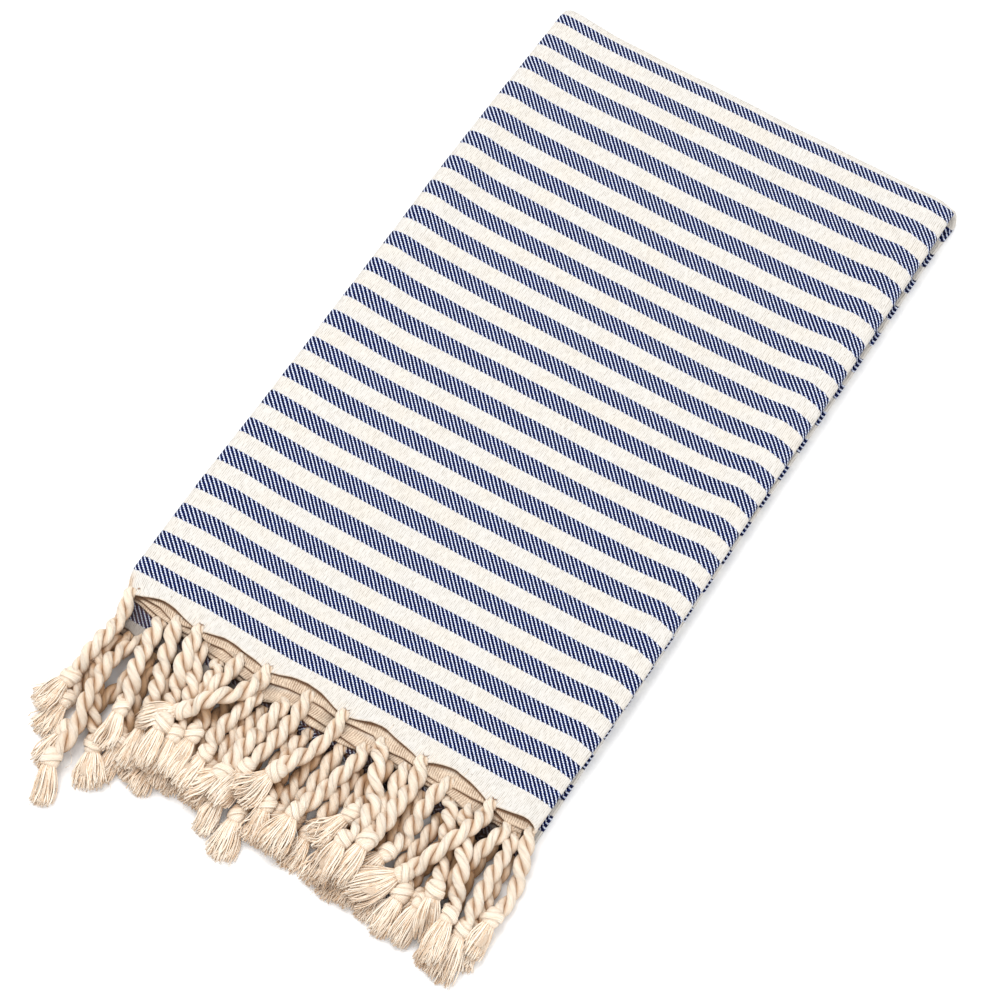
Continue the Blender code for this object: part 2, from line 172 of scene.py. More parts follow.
# Steps of the visible cloth
TOP_STATION = 3.0 * MM
DEEP_STATION = 10 * MM
ROOT_STATIONS = tuple(
    step * MM for step in (-6, -4.5, -3.4, -2.5, -1.6, -0.8, 0, 0.8, 1.6, 2.5, 3.4, 4.5, 6)
)
ROOT_CLEAR = 7 * MM
ROOT_OUTSIDE = 6.5 * MM
HEM_DISTANCES = tuple(
    step * MM for step in (0, 0.2, 0.5, 0.9, 1.4, 2.0, 2.7, 3.4, 4.1, 4.8, 5.6, 6.6, 8.0, 10)
)
LENGTH_STEP = 4.2 * MM
LOWER_STEP = 12 * MM
TURN_STEPS = 12

# --- Stripes ---

# y of the middles of the blue stripes on the top, in millimetres, at mid-width
STRIPE_MIDDLES = (
    16.9, 33.8, 51.9, 71.5, 91, 111.1, 130.9, 150, 169.2, 188.2, 207.9, 226.1, 245.2, 264.5, 283.1,
    302.2, 321.6, 341.5, 362, 383.5, 402.1, 419.3,
)
STRIPE_PERIOD = 19.3
STRIPE_HALF = 0.248  # half the width of a blue stripe, as a share of the period
LAST_LOWER_STRIPE = 45  # its number, counted from the upper hem
LAST_LOWER_PLACE = ((0, -8.2), (60, -8.2), (115, -14), (240, -14), (250, -11))  # x and y of it
LAST_NARROWER = 0.45  # the last stripe before the far fold is narrower
# How far the stripes lie out of line at places across and along the packet, in millimetres
SKEW_X = (0, 20, 40, 92, 144, 184, 215, 240, 250)
SKEW_Y = (17, 52, 100, 210, 240, 360, 380, 423)
SKEW = (
    (-2.6, -2.2, -0.9, -1.5, 0.0, 1.0, 1.4, 1.6, 1.4),
    (-2.0, -0.5, -1.5, -2.0, 0.0, 1.6, 2.0, 3.0, 2.0),
    (-1.0, -1.0, -1.6, -0.8, 0.0, 0.6, 1.0, 1.8, 0.6),
    (-0.5, -0.6, -0.6, 0.0, 0.0, 0.2, 0.6, 1.8, 0.6),
    (0.0, 0.4, 0.8, 0.6, 0.0, 0.0, 0.2, 0.8, 0.2),
    (0.0, 0.4, 1.0, 0.9, 0.0, 0.0, 0.0, 0.0, 0.0),
    (0.0, 0.0, 0.2, 0.2, 0.0, 0.0, -0.4, -1.6, -1.8),
    (0.0, 0.0, 0.0, 0.0, 0.0, 0.4, 0.6, 0.2, 0.0),
)

# --- The fringe, in millimetres and degrees ---
# A knot's and a tassel's direction is 0 straight out and positive to the right. The layer says when
# a cord is laid: later ones lie over earlier ones.

LAYERS = ("floor", "laid", "over")
CORD_COLUMNS = ("ply", "root", "path", "knot", "layer", "tassel", "fan", "lean", "curl")
CORDS = {
    UPPER: (
        (1, 2.5, ((5, -13), (6.5, -30), (5, -45)), (3, -56), "laid", 20, 17, -22, 0.7),
        (4, 23, ((25, -15), (28, -30), (33, -44)), (35.5, -56.5), "laid", 20, 14, 8, 0.1),
        (2, 31, ((35.5, -14), (40, -28), (46, -43)), (51, -57), "laid", 22, 13, 8, 0.2),
        (1, 44, ((47, -12), (50.5, -26), (55, -40)), (61, -54), "laid", 21, 13, 4, 0.2),
        (3, 51, ((52, -14), (58, -26), (64, -38)), (68, -55), "laid", 20, 11, 0, 0.2),
        (4, 62, ((64.5, -14), (66, -27), (69, -42)), (72, -60), "laid", 18, 11, 2, 0.2),
        (2, 71, ((71, -14), (70.5, -27), (73.5, -38)), (75, -49), "laid", 24, 13, 3, 0.2),
        (1, 87, ((87, -7), (83, -18), (75, -29)), (65, -43), "over", 21, 15, -50, 0.1),
        (3, 91, ((90, -14), (87, -28), (84, -42)), (86, -54), "laid", 20, 12, -6, 0.3),
        (4, 103.5, ((104, -16), (102.5, -28), (101, -42)), (100, -58), "laid", 22, 17, -38, 0.8),
        (2, 112.5, ((113, -12), (112, -25), (110, -38)), (108, -50), "laid", 22, 12, -6, 0.2),
        (1, 134, ((134, -9), (132, -20), (127.5, -32)), (123, -44), "over", 21, 19, -22, 0.5),
        (3, 152, ((153, -16), (149.5, -30), (146, -42)), (142.5, -56), "laid", 22, 19, -2, 0.3),
        (2, 158, ((161, -8), (167, -20), (174, -33), (175.5, -45)), (173, -57), "over", 21, 14, -4, 0.2),
        (4, 167, ((167, -16), (168, -29)), (167, -42), "laid", 23, 14, -24, 1.0),
        (3, 175, ((176, -14), (178.5, -28), (179.5, -40)), (180, -53), "laid", 21, 12, 0, 0.2),
        (1, 181, ((184, -10), (184, -24), (184, -38)), (182.5, -51), "laid", 23, 14, -5, 0.2),
        (2, 198, ((196, -10), (195, -24), (195, -37)), (192.5, -49), "laid", 26, 18, -20, 0.2),
        (4, 203, ((207, -14), (213, -26), (220, -41)), (225, -54.5), "laid", 21, 13, 18, 0.2),
        (3, 214, ((216, -14), (224, -27), (231.5, -42)), (237.5, -61), "laid", 23, 14, 4, 0.3),
        (1, 223, ((223, -10), (220, -24), (214, -38)), (206, -54), "over", 28, 19, -40, 0.1),
        (3, 236, ((235, -12), (231, -26), (228, -44)), (222, -62), "floor", 20, 12, -4, 0.2),
        (4, 241, ((242.5, -16), (243, -30), (244, -46)), (246, -63), "laid", 24, 17, 3, 0.3),
        (2, 247, ((250, -12), (254.5, -26), (256, -37)), (254.5, -49), "laid", 20, 11, 3, 0.2),
    ),
    LOWER: (
        (1, 6, ((8, -40), (8, -52)), (7, -66), "floor", 20, 14, -8, 0.6),
        (3, 13, ((8, -34), (13.5, -48), (24, -65)), (33.5, -79), "floor", 20, 18, 28, 0.4),
        (4, 20, ((16, -34), (18, -56), (22, -78)), (21, -97), "floor", 20, 13, 18, 0.3),
        (2, 30, ((28, -40), (22, -60)), (17, -80), "floor", 20, 14, -4, 0.5),
        (1, 40, ((34, -36), (38, -52)), (44, -70), "floor", 20, 12, 6, 0.4),
        (3, 48, ((46.5, -36), (50, -50)), (55, -63), "floor", 20, 13, 4, 0.4),
        (4, 62, ((61, -36), (62, -54)), (65, -70), "floor", 16, 12, 0, 0.4),
        (2, 77, ((78.5, -34), (79, -46)), (78, -60), "floor", 18, 13, 0, 0.5),
        (1, 87, ((89.5, -34), (91.5, -46)), (91, -59), "floor", 18, 14, -3, 0.8),
        (3, 95, ((95, -32), (98, -46)), (98, -59), "floor", 18, 13, -4, 0.6),
        (4, 105, ((107, -32), (107.5, -50)), (106, -67), "floor", 19, 13, -2, 0.4),
        (2, 114, ((117.5, -32), (117, -50)), (117, -71), "floor", 22, 17, 8, 0.4),
        (3, 122, ((121.5, -28), (124, -44)), (128, -60), "floor", 18, 14, 4, 0.6),
        (1, 132, ((131.5, -34), (132, -46)), (134, -60), "floor", 17, 13, 0, 0.5),
        (4, 141, ((140.5, -30), (140, -46)), (143, -58), "floor", 19, 13, -3, 0.5),
        (2, 154, ((154.5, -34), (154, -46)), (153, -60), "floor", 19, 14, -4, 0.8),
        (3, 162, ((162, -30), (163.5, -44)), (165, -59), "floor", 20, 13, 3, 0.5),
        (1, 178, ((178, -36), (177, -50)), (177, -62), "floor", 19, 13, 0, 0.4),
        (4, 189, ((188.5, -32), (188, -48)), (187, -60), "floor", 20, 13, -2, 0.4),
        (2, 203, ((203.5, -30), (202, -44)), (200, -61), "floor", 20, 13, -4, 0.5),
        (3, 212, ((212, -34), (210, -48)), (210, -62), "floor", 21, 13, -2, 0.4),
        (1, 223, ((222, -36), (220, -50)), (218, -59), "floor", 19, 13, 0, 0.4),
        (4, 234, ((232, -34), (235, -52)), (237, -66), "floor", 19, 13, 2, 0.4),
        (2, 244, ((246, -38), (249, -52)), (251, -60), "floor", 16, 12, 8, 0.5),
    ),
}

CORD_STEP = 1.0 * MM
CURVE_STEPS = 24
CORD_RADIUS = 4.1 * MM
# How far a cord starts inside its hem's edge, and how much over its ply: on top, and deeper
ROOT_INSIDE = {True: 4.0 * MM, False: 4.6 * MM}
ROOT_RISE = {True: 1.3 * MM, False: 0.8 * MM}
ROOT_STRAIGHT = 3 * MM
TWIST_PITCH = 20.5 * MM
STRAND_OFFSET = 2.15 * MM
STRAND_RADIAL = 2.45 * MM
STRAND_ACROSS = 3.0 * MM
STRAND_SIDES = 16
# A cord is narrow and flat where it grows out of the cloth: at its start, then what it gains
CORD_NARROW = 0.48
CORD_WIDENS = ((0.44, 4.5 * MM), (0.08, 14 * MM))
CORD_FLAT = 0.30
CORD_ROUND_AT = 9 * MM
CORD_SHRINK = (0.2, 6 * MM)  # towards its knot
CORD_SLACK = (0.05, 7 * MM)
CORD_SWAY = (0.35, 11 * MM)
YARN_TURN = 3.4 * MM
YARNS_ROUND = 2.4
KNOT_LENGTH = 10 * MM
KNOT_RADIUS = 5.0 * MM
KNOT_FLAT = 0.88
NECK_SHARE = 0.55
KNOT_RINGS = 36
KNOT_SIDES = 54
TASSEL_START = 0.34  # as a share of the knot's length
BAND_HALF = 2.5  # half the width of the band round a knot, in millimetres
BAND_STEP = 0.8
BAND_EDGE = 0.42
YARN_PITCH = 0.85
YARN_RADIUS = 0.44 * MM
YARN_COUNT = 100
YARN_STEPS = 8
YARN_SIDES = 4
GOLDEN_ANGLE = 2.399963
CORE_RINGS = 14
CORE_SIDES = 20
CORE_LENGTH = 0.72  # as a share of the tassel's
CORE_HEIGHT = 2.1 * MM
CORE_CLOSES = 0.55
HAIR_COUNT = 10
HAIR_RADIUS = 0.13 * MM
HAIR_STEPS = 7
HAIR_SIDES = 3

# How the cords lie: in cells of the surface's height as they are laid one by one
CELL = 1.0 * MM
GROUND_CORNER = (-45 * MM, -145 * MM)
GROUND_CELLS = (345, 170)
GROUND_REACH = 7
PRESS = 0.80  # two cords press into each other down to this share of their radii
SPAN_SLOPE = 0.55
HANG_SLOPE = 0.45
SOFTEN = 2.6 * MM
HIGHEST_LINE = 20 * MM
LOWEST = 0.05 * MM
# How the fringe shades what lies deep in it
SHADE_REACH = 2
SHADE_FROM = 1.0 * MM
SHADE_DEPTH = 6.7 * MM
SHADE_SIDES = (4 * MM, 8 * MM, 16 * MM)  # open at the sides: beyond the left, beyond the right, run
SHADE_OF = {"cords": 1.0, "knots": 0.7, "tassels": 0.38}
CLOTH_SHADE_POWER = 1.6
# Painted shade added to every cord of the lower fringe
LOWER_CORD_SHADE = 0.16


def ease(value):
    """A soft step from 0 to 1."""
    value = np.clip(value, 0.0, 1.0)
    return value * value * (3 - 2 * value)


def hill(value, width):
    """1 at zero, fading over the width."""
    return np.exp(-((value / width) ** 2))


def blend(start, end, share):
    return start + (end - start) * share


def there_and_back(values):
    """Values for the points of an outline: along its one face, and back on the other."""
    return np.concatenate([values, values[::-1]])


def unit_rows(vectors):
    length = np.linalg.norm(vectors, axis=1, keepdims=True)
    return vectors / np.maximum(length, 1e-12)


def ways_along(line):
    """How far along a line each of its points lies."""
    return np.concatenate([[0], np.cumsum(np.linalg.norm(np.diff(line, axis=0), axis=1))])


def from_table(table, place):
    """A value in metres at a place, from a table of places and values in millimetres."""
    places, values = zip(*table)
    return np.interp(np.asarray(place) / MM, places, values) * MM


# --- The section of four plies ---


def ridge_across(x, peak, fall):
    return 1 / (1 + ((x - peak) / fall) ** 2)


def puff(ply, x, y):
    left = LEFT_PUFF["least"] + LEFT_PUFF["more"] * hill(y - LEFT_PUFF["peak_y"], LEFT_PUFF["spread_y"])
    across = np.sin(math.tau * x / UNEVEN_ACROSS)
    along = np.sin(math.tau * (y - x / 2) / UNEVEN_ALONG)
    at_left = left * ridge_across(x, LEFT_PUFF_PEAK, LEFT_PUFF_FALL) + UNEVEN * (1 + across * along)
    at_right = from_table(RIGHT_PUFF, y) * ridge_across(x, RIGHT_PUFF_PEAK, RIGHT_PUFF_FALL)
    return LEFT_PUFF_SHARE[ply] * at_left + RIGHT_PUFF_SHARE[ply] * at_right


def ripple(x, y):
    """Small soft undulations of the top ply, never below zero."""
    total = 0.0
    for height, across, along, phase in RIPPLES:
        turn = math.tau * (x / (across * MM) + y / (along * MM)) + phase
        total = total + height * (1 + np.sin(turn))
    return total * MM


def ply_height(ply, x, y, puffed):
    return PLY_LEVEL[ply] + (puff(ply, x, y) + ripple(x, y) * (ply == 1)) * puffed


def side_out(half, x, y):
    """How far a point of one half is moved to the side: towards the nearer edge, and outwards."""
    left, right = SIDE_OUT[half]
    near_left = np.clip(1 - x / OUT_RUN, 0, 1) ** 2
    near_right = np.clip(1 - (PACKET_WIDTH - x) / OUT_RUN, 0, 1) ** 2
    return near_right * from_table(right, y) - near_left * from_table(left, y)


def station_at(x):
    """The place across the section that lies at x along the upper hem."""
    station = x
    for _ in range(6):
        station = x - float(side_out(UPPER, station, 0.0))
    return station


def roots_of(half, ply):
    return np.array(sorted(row[1] * MM for row in CORDS[half] if row[0] == ply))


def ply_stations(ply):
    start, end = PLY_START, PLY_END[ply]
    roots = [station_at(root) for root in roots_of(UPPER, ply)]
    if ply == 1:
        places = list(np.arange(start, end, TOP_STATION)) + [end]
        for root in roots:
            near = [x for x in places if abs(x - root) < ROOT_CLEAR]
            places = [x for x in places if x not in near]
            places += [root + step for step in ROOT_STATIONS if start <= root + step <= end]
            places += [x for x in near if abs(x - root) > ROOT_OUTSIDE]
        places = sorted({*places, start, end})
    else:
        places = np.linspace(start, end, round((end - start) / DEEP_STATION) + 1)
        places = sorted({*places, *(x for x in roots if start < x < end)})
    return np.array(places if ply in (1, 3) else places[::-1])


def fold_after(ply):
    for row in FOLDS:
        fold = dict(zip(FOLD_COLUMNS, row))
        if fold["plies"][0] == ply:
            return fold
    return None


def fold_line(fold, y, puffed):
    begin = fold["edge"] - fold["side"] * fold["reach"]
    start, end = (float(ply_height(ply, begin, y, puffed)) for ply in fold["plies"])
    reach = min(abs(end - start) / 2 * FOLD_WIDTH, fold["reach"])
    turn = math.pi * np.arange(fold["steps"] + 1) / fold["steps"]
    x = fold["edge"] - fold["side"] * reach * (1 - np.sin(turn))
    return x, blend(start, end, (1 - np.cos(turn)) / 2)


def section_line(y, puffed):
    """Station and height through the middle of the cloth, from one selvedge to the other."""
    xs, heights = [], []
    for ply in PLIES:
        stations = STATIONS[ply]
        xs.append(stations)
        heights.append(ply_height(ply, stations, y, puffed) * np.ones(len(stations)))
        fold = fold_after(ply)
        if fold:
            x, height = fold_line(fold, y, puffed)
            xs.append(x)
            heights.append(height)
    return np.concatenate(xs), np.concatenate(heights)


STATIONS = {ply: ply_stations(ply) for ply in PLIES}


def along_section(value_of_ply, hidden=False):
    """One number for each point of the section line, from a function of ply and x.

    Where hidden is true, the value changes on the hidden half of each fold alone.
    """
    values = []
    for ply in PLIES:
        values.append(value_of_ply(ply, STATIONS[ply]) * np.ones(len(STATIONS[ply])))
        fold = fold_after(ply)
        if fold:
            edge = np.array([fold["edge"]])
            start, end = (float(value_of_ply(joined, edge)[0]) for joined in fold["plies"])
            share = np.linspace(0, 1, fold["steps"] + 1)
            if hidden:
                first, second = fold["plies"]
                share = ease(2 * share - (first < second))
            values.append(blend(start, end, share))
    return np.concatenate(values)


def beside_root(half, ply, x):
    """Signed distance across from the nearest root of a ply."""
    beside = x[:, None] - roots_of(half, ply)[None, :]
    nearest = np.abs(beside).argmin(axis=1)
    return beside[np.arange(len(x)), nearest]


def hem_reach(half, ply, x):
    """How far a ply's hem lies beyond the hem line: in arches with a small tongue at each root."""
    nearest = np.abs(beside_root(half, ply, x))
    tongue = TONGUE[0] * hill(nearest, TONGUE[1])
    wobble = sum(height * np.sin(x / run + turns * ply) for height, run, turns in WOBBLES)
    wobble = wobble * np.clip(nearest / WOBBLE_FADE, 0, 1)
    if half == UPPER:
        table, share = (TOP_HEM, 0.6) if ply == 1 else (DEEP_HEMS[ply], 1.3)
        return tongue + share * wobble - from_table(table, x)
    arch = HEM_ARCH[ply] * np.sin(math.pi / 2 * np.clip(nearest / ARCH_RUN, 0, 1)) ** 1.1
    skew = LOWER_HEM_SKEW["reach"] * ease((x - LOWER_HEM_SKEW["from"]) / LOWER_HEM_SKEW["run"])
    return HEM_BASE[half][ply] + skew - arch + tongue + wobble


def both_faces(x, height, thickness):
    """The outline of the cloth: its line moved half a thickness to one side, and back on the other."""
    line = np.stack([x, height], axis=1)
    steps = unit_rows(np.diff(line, axis=0))
    along = np.vstack([steps[:1], unit_rows(steps[:-1] + steps[1:]), steps[-1:]])
    offset = np.stack([-along[:, 1], along[:, 0]], axis=1) * (CLOTH / 2 * thickness)[:, None]
    return np.vstack([line + offset, (line - offset)[::-1]])


# --- The cloth ---


def hem_thickness(distance, fuller):
    """The hem's edge is rounded off and fuller than the cloth."""
    inside = np.clip(distance / HEM_ROUND, 0.02, 1)
    rounded = np.sqrt(np.clip(1 - (1 - inside) ** 2, 0, 1))
    return rounded * (1 + fuller * hill(distance - HEM_ROLL, HEM_ROLL))


def stripe_phase(x, y):
    """Number of the stripe at a place on the upper half: whole at the middle of a blue stripe."""
    rows = np.array([np.interp(x / MM, SKEW_X, row) for row in SKEW])
    skew = np.array([np.interp(place, SKEW_Y, rows[:, number]) for number, place in enumerate(y / MM)])
    straight = y / MM - skew
    last = len(STRIPE_MIDDLES)
    phase = np.interp(straight, STRIPE_MIDDLES, np.arange(1, last + 1))
    below = 1 + (straight - STRIPE_MIDDLES[0]) / STRIPE_PERIOD
    beyond = last + (straight - STRIPE_MIDDLES[-1]) / STRIPE_PERIOD
    phase = np.where(straight < STRIPE_MIDDLES[0], np.maximum(below, 0.5), phase)
    phase = np.where(straight > STRIPE_MIDDLES[-1], beyond, phase)
    off = np.clip(phase - last, -0.5, 0.5)
    return phase + LAST_NARROWER * off * (1 - (2 * off) ** 2)


def lower_phase(x, y, start, far):
    """The same on the lower half, where it runs from its value at the turn to the lower hem."""
    last = from_table(LAST_LOWER_PLACE, x)
    phase = start + (LAST_LOWER_STRIPE - start) * (far - y) / (far - last)
    return np.minimum(phase, LAST_LOWER_STRIPE + 0.5)


def furthest_hem(half, plies, x):
    """How far the furthest of these plies' hems reaches, and on the lower half any of the upper's."""
    place = x + side_out(half, x, 0.0)
    edges = [hem_reach(half, ply, place) for ply in plies]
    edges.append(furthest_hem(UPPER, PLIES, x) if half == LOWER else np.full(len(x), -1.0))
    return np.max(edges, axis=0)


class Rings:
    """Collects the outlines of the cloth and what its material reads at each of their points."""

    def __init__(self):
        self.points, self.phase, self.weave, self.hem = [], [], [], []

    def add(self, points, phase, weave, hem):
        """Weave is u, v and how far the cloth is covered; hem is beside a root, distance, depth."""
        self.points.append(np.column_stack(points))
        self.phase.append(there_and_back(phase))
        for columns, values in ((self.weave, weave), (self.hem, hem)):
            values = [value * np.ones(len(phase)) for value in values]
            columns.append(np.stack([there_and_back(value) for value in values], axis=1))


def along_cloth(x, height, first, start):
    """The way along the section, counted so that the top ply starts from the same place everywhere."""
    way = ways_along(np.column_stack([x, height]))
    return way - way[first] + start


def cloth_rings():
    station, flat_height = section_line(200 * MM, 0.0)
    top_ply = along_section(lambda ply, x: np.full(len(x), float(ply == 1)))
    is_top = top_ply > 0.99
    first = np.argmax(is_top)
    depth = along_section(lambda ply, x: np.full(len(x), float(ply - 1)))

    def sink_of(ply, x):
        near_right = TOP_SINK["share"] * ease((x - TOP_SINK["from"]) / TOP_SINK["run"])
        return np.full(len(x), float(ply == 2)) + near_right * (ply == 1)

    def reach(half):
        return along_section(lambda ply, x: hem_reach(half, ply, x + side_out(half, x, 0.0)))

    def beside(half):
        return along_section(lambda ply, x: beside_root(half, ply, x + side_out(half, x, 0.0)))

    sink = along_section(sink_of)
    upper_reach, lower_reach = reach(UPPER), reach(LOWER)
    upper_beside, lower_beside = beside(UPPER), beside(LOWER)
    upper_base = along_section(lambda ply, x: np.full(len(x), HEM_BASE[UPPER][ply]), hidden=True)
    upper_cover = along_section(lambda ply, x: furthest_hem(UPPER, range(1, ply), x))
    lower_cover = along_section(lambda ply, x: furthest_hem(LOWER, range(ply + 1, 5), x))
    near_root = np.abs(upper_beside)
    lift = HEM_LIFT[0] * ease(near_root / HEM_LIFT[1]) - ROOT_DIP[0] * hill(near_root, ROOT_DIP[1])
    lift = lift * blend(0.5, 1.0, top_ply)
    fuller = blend(DEEP_FULLER, TOP_FULLER, top_ply)
    far = FAR_TURN - from_table(FAR_IN, station)
    rings = Rings()

    # The upper half, from its hem to the far fold
    distances = list(HEM_DISTANCES)
    count = round((FAR_TURN - distances[-1]) / LENGTH_STEP)
    distances += list(np.linspace(distances[-1], FAR_TURN, count + 1)[1:-1])
    for distance in distances:
        share = distance / FAR_TURN
        y = blend(-upper_reach, far, share)
        x, height = section_line(share * FAR_TURN, 1.0)
        swell = SWELL * hill(near_root, SWELL_ACROSS) * hill(distance, SWELL_ALONG) * is_top
        height = height + lift * np.exp(-distance / LIFT_FADE) + swell
        across, up = both_faces(x, height, hem_thickness(distance, fuller)).T
        both_y = there_and_back(y)
        points = (across + side_out(UPPER, across, both_y), both_y, HALF_THICKNESS + up)
        u = along_cloth(x, height, first, station[first])
        cloth_y = y + (upper_base - HEM_BASE[UPPER][1]) * (1 - share)
        sunk = cloth_y + sink * from_table(FOLD_SINK, y)
        v = blend(cloth_y, sunk, 0.35)
        rings.add(
            points, stripe_phase(station, sunk), (u, v, y + upper_cover), (upper_beside, distance, depth)
        )

    # The turn at the far fold
    far_sink = sink * from_table(FOLD_SINK, FAR_TURN)
    turn_phase = stripe_phase(station, far + far_sink)
    for share in np.linspace(0, 1, TURN_STEPS + 1):
        angle = math.pi * share
        x, height = section_line(FAR_TURN, float(ease(1 - share)))
        across, up = both_faces(x, height, np.ones(len(x))).T
        out = blend(side_out(UPPER, across, FAR_TURN), side_out(LOWER, across, FAR_TURN), ease(share))
        points = (
            across + out,
            there_and_back(far) + up * math.sin(angle),
            HALF_THICKNESS + up * math.cos(angle),
        )
        arc = height * angle
        phase = turn_phase + arc / (STRIPE_PERIOD * MM)
        rings.add(points, phase, (u, far + far_sink + arc, 0), (0, FAR_TURN, depth))

    # The lower half, back to its hem
    lower_start = turn_phase + flat_height * math.pi / (STRIPE_PERIOD * MM)
    count = round((FAR_TURN - HEM_DISTANCES[-1]) / LOWER_STEP)
    distances = list(np.linspace(FAR_TURN, HEM_DISTANCES[-1], count + 1)[1:-1])
    x, height = section_line(0.0, 0.0)
    u = along_cloth(x, height, first, station[first])
    inside = ease(station / (3 * MM)) * ease((PACKET_WIDTH - 1 * MM - station) / (3 * MM))
    for distance in distances + list(HEM_DISTANCES[::-1]):
        y = blend(-lower_reach, far, distance / FAR_TURN)
        thickness = hem_thickness(distance, LOWER_FULLER * np.ones(len(x)))
        across, up = both_faces(x, height, thickness).T
        both_y = there_and_back(y)
        level = np.maximum(HALF_THICKNESS - up, LOWEST_CLOTH)
        points = (across + side_out(LOWER, across, both_y), both_y, level)
        v = far + flat_height * math.pi + far - y
        phase = lower_phase(station, y, lower_start, far)
        covered = y + lower_cover - 50 * MM * (1 - inside)
        rings.add(points, phase, (u, v, covered), (lower_beside, distance, 3 - depth))
    return rings


def ring_faces(ring_count, count):
    """Quads between rings, and two rows of quads that close the hems."""
    here = np.arange(count)
    after = (here + 1) % count
    faces = []
    for ring in range(ring_count - 1):
        a, b = ring * count, (ring + 1) * count
        faces.append(np.column_stack([b + here, b + after, a + after, a + here]))
    row = np.arange(count // 2 - 1)
    opposite = count - 1 - row
    for base, flip in ((0, False), ((ring_count - 1) * count, True)):
        cap = np.column_stack([base + row, base + row + 1, base + opposite - 1, base + opposite])
        faces.append(cap[:, ::-1] if flip else cap)
    return np.vstack(faces)


def new_piece(name, points, faces, material, attributes=None, slot=None):
    """Adds a mesh piece, placed in the row's frame, and with a slot hangs it from the root body."""
    mesh = bpy.data.meshes.new(name)
    mesh.from_pydata((np.asarray(points, float) - np.array(ROW_ORIGIN)).tolist(), [], faces)
    for label, values in (attributes or {}).items():
        values = np.asarray(values, np.float32)
        kind, field = ("FLOAT", "value") if values.ndim == 1 else ("FLOAT_VECTOR", "vector")
        mesh.attributes.new(label, kind, "POINT").data.foreach_set(field, values.ravel())
    mesh.validate()
    mesh.update()
    mesh.shade_smooth()
    mesh.materials.append(material)
    piece = bpy.data.objects.new(name, mesh)
    bpy.context.scene.collection.objects.link(piece)
    if slot:
        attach(piece, "root")
    return piece


def make_cloth(material, ground):
    rings = cloth_rings()
    points = np.vstack(rings.points)
    attributes = {
        "stripe": np.concatenate(rings.phase),
        "weave": np.vstack(rings.weave) / MM,
        "hem": np.vstack(rings.hem) * np.array([1 / MM, 1 / MM, 1]),
        "shade": ground.shade(points) ** CLOTH_SHADE_POWER,
    }
    faces = ring_faces(len(rings.points), len(rings.points[0])).tolist()
    cloth = new_piece("folded_cloth", points, faces, material, attributes, "striped_cotton")
    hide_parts("towel_cloth")
    return cloth


# --- The fringe ---


def smooth_path(waypoints, step):
    """A smooth line through the waypoints, in equal steps."""
    points = [np.array(point, float) for point in waypoints]
    points = [2 * points[0] - points[1], *points, 2 * points[-1] - points[-2]]
    fine = []
    for p0, p1, p2, p3 in zip(points, points[1:], points[2:], points[3:]):
        for share in np.linspace(0, 1, CURVE_STEPS, endpoint=False):
            fine.append(
                0.5 * (2 * p1 + (p2 - p0) * share + (2 * p0 - 5 * p1 + 4 * p2 - p3) * share**2
                       + (3 * p1 - p0 - 3 * p2 + p3) * share**3)
            )
    fine.append(points[-2])
    fine = np.array(fine)
    length = ways_along(fine)
    places = np.linspace(0, length[-1], max(2, round(length[-1] / step)) + 1)
    return np.column_stack([np.interp(places, length, fine[:, axis]) for axis in range(3)])


def frames_of(line):
    """Tangents, and the two directions across: level to one side, and up."""
    tangent = unit_rows(np.gradient(line, axis=0))
    side = unit_rows(np.cross(tangent, np.array([0, 0, 1.0])))
    return tangent, side, np.cross(side, tangent)


def rings_round(line, wide, high, theta):
    """Flat oval rings of points round a line, with a half width and half height at each place."""
    side, up = frames_of(line)[1:]
    return (
        line[:, None, :]
        + (wide[:, None] * np.cos(theta)[None, :])[..., None] * side[:, None, :]
        + (high[:, None] * np.sin(theta)[None, :])[..., None] * up[:, None, :]
    )


class Soup:
    """Collects tubes and bulbs into one mesh with its attributes."""

    def __init__(self):
        # Each point also gets its painted shade, with a random darker tone on some tassel yarns
        self.points, self.faces, self.fibre, self.painted_shade_and_tone = [], [], [], []
        self.count = 0

    def grid(self, points, fibre, painted_shade_and_tone):
        """A tube of rings x sides points. Fibre is across, along and a number of the yarn's own."""
        points, painted_shade_and_tone = points[:, ::-1], painted_shade_and_tone[:, ::-1]
        rings, sides = points.shape[:2]
        fibre = np.stack([np.broadcast_to(value, (rings, sides)) for value in fibre], axis=-1)[:, ::-1]
        here = np.arange(sides)
        after = (here + 1) % sides
        faces = []
        for ring in range(rings - 1):
            a, b = ring * sides, (ring + 1) * sides
            faces.append(np.column_stack([a + here, b + here, b + after, a + after]))
        faces += [end_cap(0, sides), end_cap((rings - 1) * sides, sides)[:, ::-1]]
        points = points.reshape(-1, 3)
        points[:, 2] = np.maximum(points[:, 2], LOWEST)
        self.points.append(points)
        self.faces.append(np.vstack(faces) + self.count)
        self.fibre.append(fibre.reshape(-1, 3))
        self.painted_shade_and_tone.append(painted_shade_and_tone.reshape(-1))
        self.count += len(points)


def end_cap(base, sides):
    """Quads and triangles (with a repeated corner left out later) over one end ring."""
    quads = []
    low, high = 0, sides - 1
    while high - low >= 3:
        quads.append((base + low, base + low + 1, base + high - 1, base + high))
        low, high = low + 1, high - 1
    if high - low == 2:
        quads.append((base + low, base + low + 1, base + high, base + high))
    return np.array(quads)


